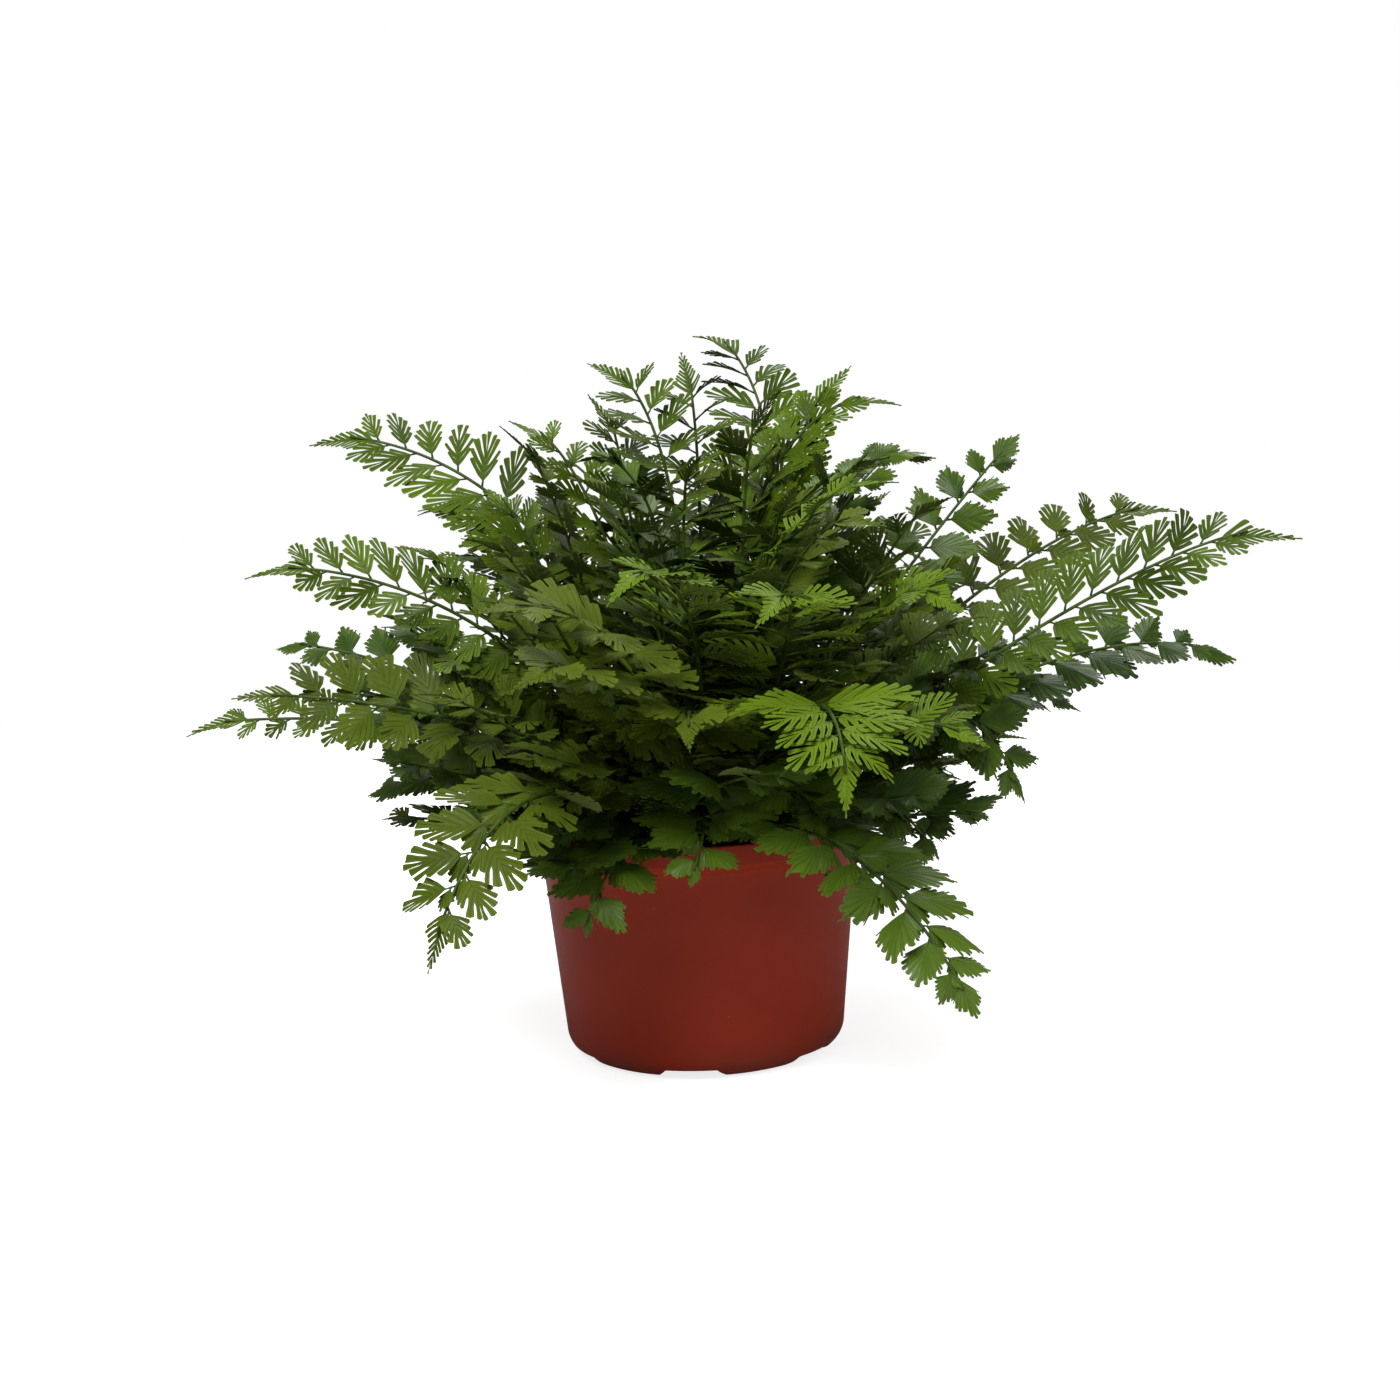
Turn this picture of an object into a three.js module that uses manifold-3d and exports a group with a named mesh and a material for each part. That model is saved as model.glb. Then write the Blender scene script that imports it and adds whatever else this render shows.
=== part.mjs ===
// A potted spleenwort fern: a round plastic nursery pot full of potting mix, a short scaly crown in
// the middle of it, and the fronds and the young coiled fronds that rise from that crown.
// Millimetres, +Z up. The origin is the centre of the pot's middle foot, on the surface it stands on.
// Each frond is one solid: a stalk that arches from the crown, with paired leaflets and an end leaflet.
import * as THREE from "three";
import { mergeVertices } from "three/addons/utils/BufferGeometryUtils.js";
import Module from "manifold-3d";

const wasm = await Module();
wasm.setup();

// ---------------------------------------------------------------- Driving sizes of the pot
const RIM_DIAMETER = 120;
const SHOULDER_DIAMETER = 108; // the body just under the rim band
const BASE_DIAMETER = 94; // the body carried down to the ground, before its corner is rounded
const POT_HEIGHT = 82;
const RIM_BAND = 7.2; // height of the upright rim band
const RIM_SLOPE = 3.5; // height of the sloping step under the band
const WALL = 1.2;
const CORNER_RADIUS = 8;
const FLOOR_RAISE = 4; // clear height under the floor, for water to run off
const FOOT_RING_WIDTH = 3;
const MIDDLE_FOOT_DIAMETER = 24;
const NOTCH_COUNT = 6;
const NOTCH_WIDTH = 23; // at the ground; the sides slope in by NOTCH_LEAN each
const NOTCH_LEAN = 3;
const NOTCH_HEIGHT = 3.4;
const NOTCH_AZIMUTH = -97; // degrees, the notch that faces front
const DRAIN_COUNT = 6;
const DRAIN_DIAMETER = 9;
const DRAIN_CIRCLE = 56; // diameter of the circle that the drain holes lie on

// ---------------------------------------------------------------- Driving sizes of the plant
const TOUCH_GAP = 0.3; // between solids that touch
const SOIL_BELOW_RIM = 12;
const SOIL_MOUND = 3; // how far the mix rises towards the crown
const CROWN_DIAMETER = 46;
const CROWN_RISE = 9; // above the mix
const CROWN_DEPTH = 10; // sunk into the mix
const CROWN_TAPER = 0.6; // radius at the crown's sunken foot, as a share of its full radius
const STALK_THICKNESS = 2.1; // at the crown
const TIP_THICKNESS = 0.9;
const LEAFLET_THICKNESS = 0.7; // at its stalk, thinning to nothing at the margin
const LEAFLET_STALK = 1.8; // width of a leaflet's own stalk
const FOOT_LIFT = 1.7; // from the crown to the middle of a stalk's foot
const LEAF_CLEARANCE = 3; // between leaves of different fronds
const POT_CLEARANCE = 1.2; // between any leaf and the pot or the mix

const RIM_RADIUS = RIM_DIAMETER / 2;
const SOIL_TOP = POT_HEIGHT - SOIL_BELOW_RIM;
const CROWN_RADIUS = CROWN_DIAMETER / 2;
const CROWN_TOP = SOIL_TOP + SOIL_MOUND + CROWN_RISE;
const UP = new THREE.Vector3(0, 0, 1);
const rad = THREE.MathUtils.degToRad;

// ---------------------------------------------------------------- Kinds of frond
// pitch: between leaflets. slimness: half the leaflet's width, as a share of its length.
// bare: the share of the stalk with no leaflets. colour: of the CAD material.
const KINDS = {
  fine: { pitch: 11, slimness: 0.18, bare: 0.26, colour: 0x6f9a24 },
  lobed: { pitch: 12, slimness: 0.19, bare: 0.28, colour: 0x5d7d2a },
  broad: { pitch: 12, slimness: 0.22, bare: 0.3, colour: 0x2f5c1c },
};

// Each frond arches from the crown towards its shoulder and comes down to its tip.
// azimuth: of the tip, in degrees from +X. out: past the rim's edge. up: above the rim's top.
// sweep: from the tip's azimuth to the shoulder's. roll: how far the blade leans about its stalk.
const frond = (name, kind, azimuth, out, up, sweep, shoulderOut, shoulderUp, roll, leaflet) => (
  { name, kind, azimuth, out, up, sweep, shoulderOut, shoulderUp, roll, leaflet });

const FRONDS = [
  // the front, which hangs over the rim or reaches out from it
  frond("front_bright", "fine", 286, 96, 29, 8, 54, 88, 0, 40),
  frond("hang_right", "broad", 301, 97, -38, -7, 55, 32, 0, 30),
  frond("hang_left", "lobed", 235, 86, -22, 6, 60, 58, 10, 32),
  frond("olive_left", "lobed", 243, 80, 89, 23, 50, 95, 25, 34),
  frond("front_left", "lobed", 250, 89, 69, 7, 56, 85, 15, 30),
  frond("bright_left", "fine", 259, 67, 93, 17, 30, 114, 15, 28),
  frond("front_low", "broad", 268, 34, -4, 8, 18, 26, 0, 28),
  frond("front_low_left", "broad", 246, 32, -22, 7, 16, 20, 0, 26),
  frond("front_low_right", "broad", 297, 27, 6, 2, 9, 32, 0, 28),
  frond("arch_left", "fine", 279, 72, 85, 16, 44, 105, 10, 30),
  frond("arch_right", "fine", 311, 66, 79, 4, 30, 102, -20, 28),
  frond("bright_low_right", "fine", 309, 81, 39, -8, 51, 61, -20, 28),
  frond("front_mid", "lobed", 269, 65, 46, 1, 28, 69, 0, 28),
  frond("olive_small", "lobed", 299, 60, 108, -9, 25, 119, -10, 26),
  frond("bright_right", "fine", 313, 36, 119, -27, 2, 114, -25, 28),
  frond("hang_right_back", "broad", 322, 38, -7, -5, 13, 34, 0, 28),
  // the left side
  frond("left_low", "lobed", 202, 98, 56, 26, 14, 49, 40, 30),
  frond("left_dark", "fine", 188, 110, 40, 3, 12, 46, 30, 20),
  frond("left_mid", "broad", 170, 86, 60, -1, 18, 52, 25, 24),
  frond("left_spray", "fine", 190, 87, 92, 4, 4, 91, 35, 30),
  frond("upper_left", "fine", 159, 82, 129, -19, -5, 128, 30, 32),
  frond("left_back", "fine", 139, 70, 99, -13, 15, 109, 15, 26),
  frond("left_back_low", "fine", 151, 42, 83, -13, 0, 96, 10, 24),
  frond("left_under", "broad", 175, 54, 7, 5, 0, 30, 10, 24),
  // the right side
  frond("right_long", "fine", 349, 142, 92, 1, 104, 102, -30, 34),
  frond("right_dark", "broad", 7, 131, 41, 1, 76, 67, -25, 26),
  frond("right_bright", "lobed", 23, 134, 90, 2, 71, 94, -30, 26),
  frond("right_up", "broad", 27, 74, 119, -2, 37, 91, -40, 24),
  frond("right_hang", "broad", 342, 54, 5, -2, 27, 76, -30, 28),
  frond("right_small", "broad", 13, 80, 24, 1, 34, 46, -15, 24),
  // the top
  frond("top_left", "fine", 136, -17, 154, -69, -44, 143, 20, 30),
  frond("top", "fine", 86, 50, 161, -38, 20, 133, -15, 30),
  frond("top_right", "fine", 15, 17, 138, 26, -45, 141, -20, 26),
  frond("olive_right", "broad", 343, 26, 119, -21, -28, 131, -5, 28),
  frond("olive_top", "broad", 208, -18, 124, 69, -40, 132, 5, 28),
  frond("upper_inner_left", "fine", 153, 6, 134, -7, -30, 125, 15, 26),
  frond("mid_left", "fine", 157, 42, 105, 4, -8, 109, 20, 26),
  frond("crest_left", "fine", 90, -15, 154, -24, -38, 143, 10, 26),
  frond("crest_right", "fine", 27, 6, 147, -6, -24, 140, -15, 26),
  frond("crest_front", "fine", 331, 13, 121, 5, -16, 122, -15, 26),
  frond("inner_right", "broad", 7, 22, 120, -2, -8, 126, -20, 26),
  // the back
  frond("back_low_right", "broad", 40, 95, 10, 6, 50, 50, 5, 28),
  frond("back_right", "lobed", 55, 115, 62, -5, 62, 84, -5, 30),
  frond("back_mid_right", "fine", 75, 118, 38, 5, 62, 66, 5, 32),
  frond("back_mid", "lobed", 95, 112, 72, -6, 55, 98, 0, 30),
  frond("back_mid_left", "broad", 112, 120, 30, 6, 64, 60, 5, 28),
  frond("back_left", "fine", 128, 108, 58, -5, 58, 82, -5, 32),
  frond("back_low_left", "broad", 150, 88, 12, 5, 48, 46, 5, 28),
  frond("back_hang_right", "broad", 58, 78, -28, 5, 48, 36, 0, 28),
  frond("back_hang", "broad", 86, 84, -25, 4, 50, 40, 0, 30),
  frond("back_hang_left", "lobed", 122, 80, -30, 4, 48, 38, 0, 28),
  frond("back_high_right", "fine", 66, 64, 108, 8, 10, 122, -5, 30),
  frond("back_high_left", "lobed", 115, 62, 112, -8, 8, 122, 5, 28),
];

// Young fronds, still coiled, on the middle of the crown. lean is outwards, towards azimuth.
const coiled = (name, azimuth, height, lean, coil) => ({ name, azimuth, height, lean, coil });

const COILED_FRONDS = [
  coiled("coiled_front", 270, 44, 28, 6.5),
  coiled("coiled_left", 200, 40, 22, 5.5),
  coiled("coiled_right", 25, 56, 14, 5.5),
  coiled("coiled_back", 155, 54, 14, 6),
];

// ---------------------------------------------------------------- Helpers
const part = new THREE.Group();

function addPart(name, geometry, colour, roughness) {
  geometry.computeVertexNormals();
  const material = new THREE.MeshStandardMaterial({ color: colour, roughness, metalness: 0 });
  const mesh = new THREE.Mesh(geometry, material);
  mesh.name = name;
  part.add(mesh);
}

// A profile of [radius, height] points, turned about the Z axis.
function turned(profile, segments) {
  const points = profile.map(([r, z]) => new THREE.Vector2(r, z));
  return new THREE.LatheGeometry(points, segments).rotateX(Math.PI / 2);
}

function toSolid(geometry) {
  const bare = geometry.clone();
  bare.deleteAttribute("normal");
  bare.deleteAttribute("uv");
  const merged = mergeVertices(bare, 1e-3);
  return new wasm.Manifold(new wasm.Mesh({
    numProp: 3,
    vertProperties: new Float32Array(merged.attributes.position.array),
    triVerts: new Uint32Array(merged.index.array),
  }));
}

function toGeometry(solid) {
  const mesh = solid.getMesh();
  const geometry = new THREE.BufferGeometry();
  geometry.setAttribute("position", new THREE.BufferAttribute(mesh.vertProperties, 3));
  geometry.setIndex(new THREE.BufferAttribute(mesh.triVerts, 1));
  return geometry;
}

// A closed surface from a list of points and a list of triangles of their indices.
function meshOf(points, triangles) {
  const geometry = new THREE.BufferGeometry().setFromPoints(points);
  geometry.setIndex(triangles.flat());
  return geometry;
}

const polar = (azimuth, radius, height) => new THREE.Vector3(
  radius * Math.cos(rad(azimuth)), radius * Math.sin(rad(azimuth)), height);

// ---------------------------------------------------------------- Pot
const SHOULDER_HEIGHT = POT_HEIGHT - RIM_BAND - RIM_SLOPE;
const BODY_TAPER = (SHOULDER_DIAMETER - BASE_DIAMETER) / 2 / SHOULDER_HEIGHT;
const bodyRadius = (z) => BASE_DIAMETER / 2 + BODY_TAPER * z;
const INNER_BEVEL = CORNER_RADIUS / 2; // between the floor and the wall
const POT_SEGMENTS = 48;

// The rounded corner between the ground and the body, from the ground up.
function cornerArc(radius, outset, rise) {
  const steps = 4;
  return Array.from({ length: steps + 1 }, (_, i) => {
    const turn = (Math.PI / 2) * (i / steps);
    return [outset - radius * (1 - Math.sin(turn)), rise + radius * (1 - Math.cos(turn))];
  });
}

function potSolid() {
  const ringOut = bodyRadius(CORNER_RADIUS);
  const ringIn = ringOut - CORNER_RADIUS - FOOT_RING_WIDTH;
  const floorTop = FLOOR_RAISE + WALL;
  const shell = toSolid(turned([
    [0, 0],
    [MIDDLE_FOOT_DIAMETER / 2, 0],
    [MIDDLE_FOOT_DIAMETER / 2, FLOOR_RAISE],
    [ringIn, FLOOR_RAISE],
    [ringIn, 0],
    ...cornerArc(CORNER_RADIUS, ringOut, 0),
    [SHOULDER_DIAMETER / 2, SHOULDER_HEIGHT],
    [RIM_RADIUS, POT_HEIGHT - RIM_BAND],
    [RIM_RADIUS, POT_HEIGHT],
    [RIM_RADIUS - WALL, POT_HEIGHT],
    [RIM_RADIUS - WALL, POT_HEIGHT - RIM_BAND],
    [SHOULDER_DIAMETER / 2 - WALL, SHOULDER_HEIGHT],
    [bodyRadius(floorTop + INNER_BEVEL) - WALL, floorTop + INNER_BEVEL],
    [bodyRadius(floorTop) - WALL - INNER_BEVEL, floorTop],
    [0, floorTop],
  ], POT_SEGMENTS));
  const notches = Array.from({ length: NOTCH_COUNT }, (_, i) => notchCutter(NOTCH_AZIMUTH
    + (360 / NOTCH_COUNT) * i));
  const drains = Array.from({ length: DRAIN_COUNT }, (_, i) => drainCutter(NOTCH_AZIMUTH
    + (360 / DRAIN_COUNT) * (i + 0.5)));
  return [...notches, ...drains].reduce((made, cutter) => made.subtract(cutter), shell);
}

// A wedge with sloping sides that crosses the foot ring under the floor.
function notchCutter(azimuth) {
  const halfFoot = NOTCH_WIDTH / 2;
  const outline = new THREE.Shape([
    new THREE.Vector2(-halfFoot - NOTCH_LEAN, -NOTCH_HEIGHT),
    new THREE.Vector2(halfFoot + NOTCH_LEAN, -NOTCH_HEIGHT),
    new THREE.Vector2(halfFoot - NOTCH_LEAN, NOTCH_HEIGHT),
    new THREE.Vector2(-halfFoot + NOTCH_LEAN, NOTCH_HEIGHT),
  ]);
  const depth = RIM_RADIUS;
  const wedge = new THREE.ExtrudeGeometry(outline, { depth, bevelEnabled: false });
  wedge.rotateX(Math.PI / 2); // the outline stands up, and the depth runs to -Y
  wedge.translate(0, -(MIDDLE_FOOT_DIAMETER + DRAIN_CIRCLE) / 4, 0); // clear of the middle foot
  wedge.rotateZ(rad(azimuth + 90));
  return toSolid(wedge);
}

function drainCutter(azimuth) {
  const depth = 4 * (FLOOR_RAISE + WALL);
  const hole = new THREE.CylinderGeometry(DRAIN_DIAMETER / 2, DRAIN_DIAMETER / 2, depth, 16);
  hole.rotateX(Math.PI / 2);
  const place = polar(azimuth, DRAIN_CIRCLE / 2, 0);
  return toSolid(hole.translate(place.x, place.y, FLOOR_RAISE));
}

// ---------------------------------------------------------------- Potting mix and crown
// Both are a little inside what holds them. The mix has a round pocket that the crown sits in.
function soilGeometry() {
  const floorTop = FLOOR_RAISE + WALL + TOUCH_GAP;
  const inside = WALL + TOUCH_GAP;
  const pocket = CROWN_RADIUS * CROWN_TAPER + TOUCH_GAP;
  const pocketTop = CROWN_RADIUS + TOUCH_GAP;
  return turned([
    [0, floorTop],
    [bodyRadius(floorTop) - inside - INNER_BEVEL, floorTop],
    [bodyRadius(floorTop + INNER_BEVEL) - inside, floorTop + INNER_BEVEL],
    [bodyRadius(SOIL_TOP) - inside, SOIL_TOP],
    [(RIM_RADIUS + CROWN_RADIUS) / 2, SOIL_TOP + SOIL_MOUND / 2],
    [pocketTop, SOIL_TOP + SOIL_MOUND],
    [pocket, SOIL_TOP - CROWN_DEPTH],
    [0, SOIL_TOP - CROWN_DEPTH],
  ], 40);
}

// Height of the crown's rounded top at a radius.
const crownHeight = (r) => SOIL_TOP + SOIL_MOUND + CROWN_RISE * (1 - (r / CROWN_RADIUS) ** 2);

function crownGeometry() {
  const foot = SOIL_TOP - CROWN_DEPTH + TOUCH_GAP;
  const dome = [1, 0.8, 0.55, 0.3].map((share) => {
    const r = CROWN_RADIUS * share;
    return [r, crownHeight(r)];
  });
  return turned([[0, foot], [CROWN_RADIUS * CROWN_TAPER, foot], ...dome, [0, CROWN_TOP]], 24);
}

// ---------------------------------------------------------------- Room between the leaves
// Points on everything that is already in place, in cells as wide as the clearance.
const taken = new Map();
const SAMPLE_STEP = 0.6; // between the points on a leaflet, as a share of the clearance
const cellOf = (p) => [p.x, p.y, p.z].map((v) => Math.floor(v / LEAF_CLEARANCE));

function take(points, owner) {
  for (const p of points) {
    const key = cellOf(p).join();
    if (!taken.has(key)) taken.set(key, []);
    taken.get(key).push({ p, owner });
  }
}

function crowded(p, owner) {
  const [i, j, k] = cellOf(p);
  for (let a = i - 1; a <= i + 1; a++)
    for (let b = j - 1; b <= j + 1; b++)
      for (let c = k - 1; c <= k + 1; c++)
        for (const other of taken.get(`${a},${b},${c}`) ?? [])
          if (other.owner !== owner && other.p.distanceTo(p) < LEAF_CLEARANCE) return true;
  return false;
}

// True if a point is in the pot's wall, in the mix, or under the surface that the pot stands on.
function inPot(p) {
  const r = Math.hypot(p.x, p.y);
  const outer = p.z > SHOULDER_HEIGHT ? RIM_RADIUS : bodyRadius(p.z);
  const inner = RIM_RADIUS - WALL - POT_CLEARANCE;
  const aboveMix = r < inner && p.z > SOIL_TOP + SOIL_MOUND + POT_CLEARANCE;
  const belowRim = r < outer + POT_CLEARANCE && p.z < POT_HEIGHT + POT_CLEARANCE;
  return (belowRim && !aboveMix) || p.z < POT_CLEARANCE;
}

// ---------------------------------------------------------------- Fronds
const shoulderOf = (f) => polar(f.azimuth + f.sweep, RIM_RADIUS + f.shoulderOut,
  POT_HEIGHT + f.shoulderUp);

function onCrown(azimuth, share) {
  const radius = CROWN_RADIUS * share;
  return polar(azimuth, radius, crownHeight(radius) + FOOT_LIFT);
}

// The stalks' feet stand evenly round rings on the crown, in the order of their shoulders. The
// steepest stalks rise from the inner ring. Each ring is turned to suit its own stalks.
const FOOT_RINGS = [
  { share: 0.38, fronds: 0.22 },
  { share: 0.63, fronds: 0.34 },
  { share: 0.87, fronds: 0.44 },
];

function feetOf(fronds) {
  const steepness = (f) => (f.shoulderUp + POT_HEIGHT - SOIL_TOP) / (f.shoulderOut + RIM_RADIUS);
  const turn = (f) => (f.azimuth + f.sweep + 360) % 360;
  const steepestFirst = [...fronds].sort((a, b) => steepness(b) - steepness(a));
  const feet = new Map();
  for (const { share, fronds: portion } of FOOT_RINGS) {
    const ring = steepestFirst.splice(0, Math.ceil(portion * fronds.length));
    ring.sort((a, b) => turn(a) - turn(b));
    const spacing = 360 / ring.length;
    const shift = ring.reduce((sum, f, i) => sum + turn(f) - i * spacing, 0) / ring.length;
    ring.forEach((f, i) => feet.set(f.name, onCrown(shift + i * spacing, share)));
  }
  return feet;
}

const FEET = feetOf(FRONDS);

// The stalk's line: its foot on the crown, then the shoulder that it bends over, then its tip.
const stalkLine = (f) => new THREE.QuadraticBezierCurve3(FEET.get(f.name), shoulderOf(f),
  polar(f.azimuth, RIM_RADIUS + f.out, POT_HEIGHT + f.up));

// Along (towards the tip), side (to the left) and face (up out of the blade) at a share of the line.
function frameAt(f, line, share) {
  const at = line.getPointAt(share);
  const along = line.getTangentAt(share);
  const level = new THREE.Vector3().crossVectors(UP, polar(f.azimuth, 1, 0));
  const face = new THREE.Vector3().crossVectors(along, level).normalize();
  face.applyAxisAngle(along, rad(-f.roll));
  const side = new THREE.Vector3().crossVectors(face, along).normalize();
  return { at, along, side, face };
}

// The leaflets' length along the blade, from its first pair (0) to its tip (1), as a share.
const outline = (q) => (1 - q ** 1.8) * (0.8 + 0.5 * q);
const leafletAngle = (q) => rad(78 - 34 * q); // from the stalk
const LIFTS = [10, 26, -6, 42, -22, 58, -38];
const SCALES = [1, 0.82, 0.66, 0.5, 0.36];
const END_SHARE = 0.87; // leaflets in pairs end here, and the end leaflet begins
const END_WIDEST = 0.4; // where the end leaflet is widest, as a share of its length
const END_FULLNESS = 0.6; // half of its width, as a share of a side leaflet's length there
const SKEW = 0.4; // how far the right leaflets are ahead of the left, as a share of the pitch
const BARE_STATIONS = 4; // along the bare part of the stalk

// A leaflet's corners: near and far edge at its widest, and its tip. hand is 1 on the left.
function leafletShape(frame, foot, length, slimness, angle, hand, lift) {
  const out = frame.side.clone().multiplyScalar(hand * Math.cos(rad(lift)))
    .addScaledVector(frame.face, Math.sin(rad(lift)));
  const ray = out.multiplyScalar(Math.sin(angle)).addScaledVector(frame.along, Math.cos(angle));
  const across = frame.along.clone().addScaledVector(ray, -frame.along.dot(ray)).normalize();
  const middle = foot.clone().addScaledVector(ray, length / 2);
  return {
    near: middle.clone().addScaledVector(across, -length * slimness),
    far: middle.clone().addScaledVector(across, length * slimness),
    tip: foot.clone().addScaledVector(ray, length),
    ray, across, foot, length, slimness,
  };
}

// Points spread over a leaflet closely enough that no other leaf can pass between them.
function leafletPoints(leaf) {
  const step = LEAF_CLEARANCE * SAMPLE_STEP;
  const points = [];
  const rows = Math.ceil(leaf.length / step);
  for (let i = 0; i <= rows; i++) {
    const share = i / rows;
    const half = leaf.length * leaf.slimness * (1 - Math.abs(2 * share - 1));
    const columns = Math.max(1, Math.ceil((2 * half) / step));
    for (let j = 0; j <= columns; j++)
      points.push(leaf.foot.clone().addScaledVector(leaf.ray, leaf.length * share)
        .addScaledVector(leaf.across, half * ((2 * j) / columns - 1)));
  }
  return points;
}

// The first way to hold a leaflet, from the longest down, that is clear of what is in place.
function roomFor(name, shapeOf, lifts) {
  for (const scale of SCALES)
    for (const lift of lifts) {
      const leaf = shapeOf(scale, lift);
      const points = leafletPoints(leaf);
      if (!points.some((p) => inPot(p) || crowded(p, name))) {
        take(points, name);
        return leaf;
      }
    }
  return null;
}

// Where the stations of a frond's stalk are, and how the blade is shared out.
function planOf(f) {
  const kind = KINDS[f.kind];
  const line = stalkLine(f);
  const length = line.getLength();
  const blade = length * (1 - kind.bare);
  const pairs = Math.max(2, Math.floor((blade * END_SHARE) / kind.pitch));
  const pitch = (blade * END_SHARE) / pairs;
  return { f, kind, line, length, blade, pairs, pitch, start: length * kind.bare };
}

const thicknessAt = (share) => THREE.MathUtils.lerp(STALK_THICKNESS, TIP_THICKNESS, share);

// One station: left, right and upper point of the three-sided stalk, the right ahead by skew.
function station(plan, distance, skew) {
  const at = (s) => frameAt(plan.f, plan.line, Math.min(1, s / plan.length));
  const half = thicknessAt(distance / plan.length) / 2;
  const [left, middle, right] = [at(distance), at(distance + skew / 2), at(distance + skew)];
  return {
    left: left.at.clone().addScaledVector(left.side, half),
    right: right.at.clone().addScaledVector(right.side, -half),
    upper: middle.at.clone().addScaledVector(middle.face, half),
  };
}

function endLeaflet(plan) {
  const begin = plan.start + plan.blade * END_SHARE + plan.pitch * SKEW;
  const middle = THREE.MathUtils.lerp(begin, plan.length, END_WIDEST);
  const widest = outline(END_SHARE) * plan.f.leaflet * END_FULLNESS;
  return roomFor(plan.f.name, (scale) => {
    const low = frameAt(plan.f, plan.line, begin / plan.length);
    const mid = frameAt(plan.f, plan.line, middle / plan.length);
    const tip = plan.line.getPointAt(1);
    const half = widest * scale;
    const ray = tip.clone().sub(low.at).normalize();
    return {
      left: mid.at.clone().addScaledVector(mid.side, half),
      right: mid.at.clone().addScaledVector(mid.side, -half),
      tip, ray, across: mid.side, foot: low.at, length: tip.distanceTo(low.at),
      slimness: half / tip.distanceTo(low.at),
    };
  }, [0]);
}

function sideLeaflet(plan, index, hand) {
  const distance = plan.start + plan.pitch * (index + 0.5) + (hand < 0 ? plan.pitch * SKEW : 0);
  const q = (distance - plan.start) / plan.blade;
  const frame = frameAt(plan.f, plan.line, Math.min(1, distance / plan.length));
  const half = thicknessAt(distance / plan.length) / 2;
  const foot = frame.at.clone().addScaledVector(frame.side, hand * half);
  const length = outline(q) * plan.f.leaflet;
  return roomFor(plan.f.name, (scale, lift) => leafletShape(frame, foot, length * scale,
    plan.kind.slimness, leafletAngle(q), hand, lift), LIFTS);
}

// Sews the stations and leaflets of one frond into one closed surface.
function frondGeometry(plan, leaves, end) {
  const points = [];
  const triangles = [];
  const put = (p) => points.push(p) - 1;
  const face = (...corners) => {
    for (let i = 1; i < corners.length - 1; i++)
      triangles.push([corners[0], corners[i], corners[i + 1]]);
  };
  const skewed = plan.pitch * SKEW;
  const stations = Array.from({ length: BARE_STATIONS }, (_, i) => i / BARE_STATIONS)
    .map((share) => [plan.start * share, skewed * share * share]);
  for (let i = 0; i < plan.pairs; i++) {
    const middle = plan.start + plan.pitch * (i + 0.5);
    stations.push([middle - LEAFLET_STALK / 2, skewed], [middle + LEAFLET_STALK / 2, skewed]);
  }
  stations.push([plan.start + plan.blade * END_SHARE, skewed]);
  const rings = stations.map(([distance, skew]) => {
    const ring = station(plan, distance, skew);
    return { left: put(ring.left), right: put(ring.right), upper: put(ring.upper) };
  });
  const first = rings[0];
  face(first.left, first.right, first.upper);

  rings.slice(1).forEach((next, i) => {
    const now = rings[i];
    const pair = leaves[(i - BARE_STATIONS) / 2];
    for (const hand of [1, -1]) {
      const [a, b] = hand > 0 ? [now.left, next.left] : [now.right, next.right];
      const leaf = pair?.[hand > 0 ? "left" : "right"];
      const turnedFace = (hub, ...rim) => face(hub, ...(hand > 0 ? rim : rim.reverse()));
      if (!leaf) {
        turnedFace(a, now.upper, next.upper, b);
        continue;
      }
      const rise = new THREE.Vector3().crossVectors(leaf.ray, leaf.across)
        .multiplyScalar(hand * -LEAFLET_THICKNESS);
      const ridge = put(points[a].clone().lerp(points[b], 0.5).add(rise));
      const [near, far, tip] = [put(leaf.near), put(leaf.far), put(leaf.tip)];
      turnedFace(ridge, a, now.upper, next.upper, b);
      turnedFace(ridge, b, far, tip, near, a);
      turnedFace(tip, far, b, a, near);
    }
    face(now.left, next.left, next.right, now.right);
  });

  const last = rings[rings.length - 1];
  const tip = put(plan.line.getPointAt(1));
  if (!end) {
    face(last.left, last.upper, tip);
    face(last.upper, last.right, tip);
    face(last.right, last.left, tip);
  } else {
    const [left, right] = [put(end.left), put(end.right)];
    face(last.upper, tip, left, last.left);
    face(last.upper, last.right, right, tip);
    face(last.left, left, tip, right, last.right);
  }
  return meshOf(points, triangles);
}

// ---------------------------------------------------------------- Coiled young fronds
// A stalk that leans out and then rolls up inwards, as a five-sided tube.
const COIL_TURNS = 1.35;
const COIL_CORE = 0.3; // the coil's inner radius, as a share of its outer
const TUBE_SIDES = 5;
const COILED_RING = 0.15; // where their feet stand, as a share of the crown's radius

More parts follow.
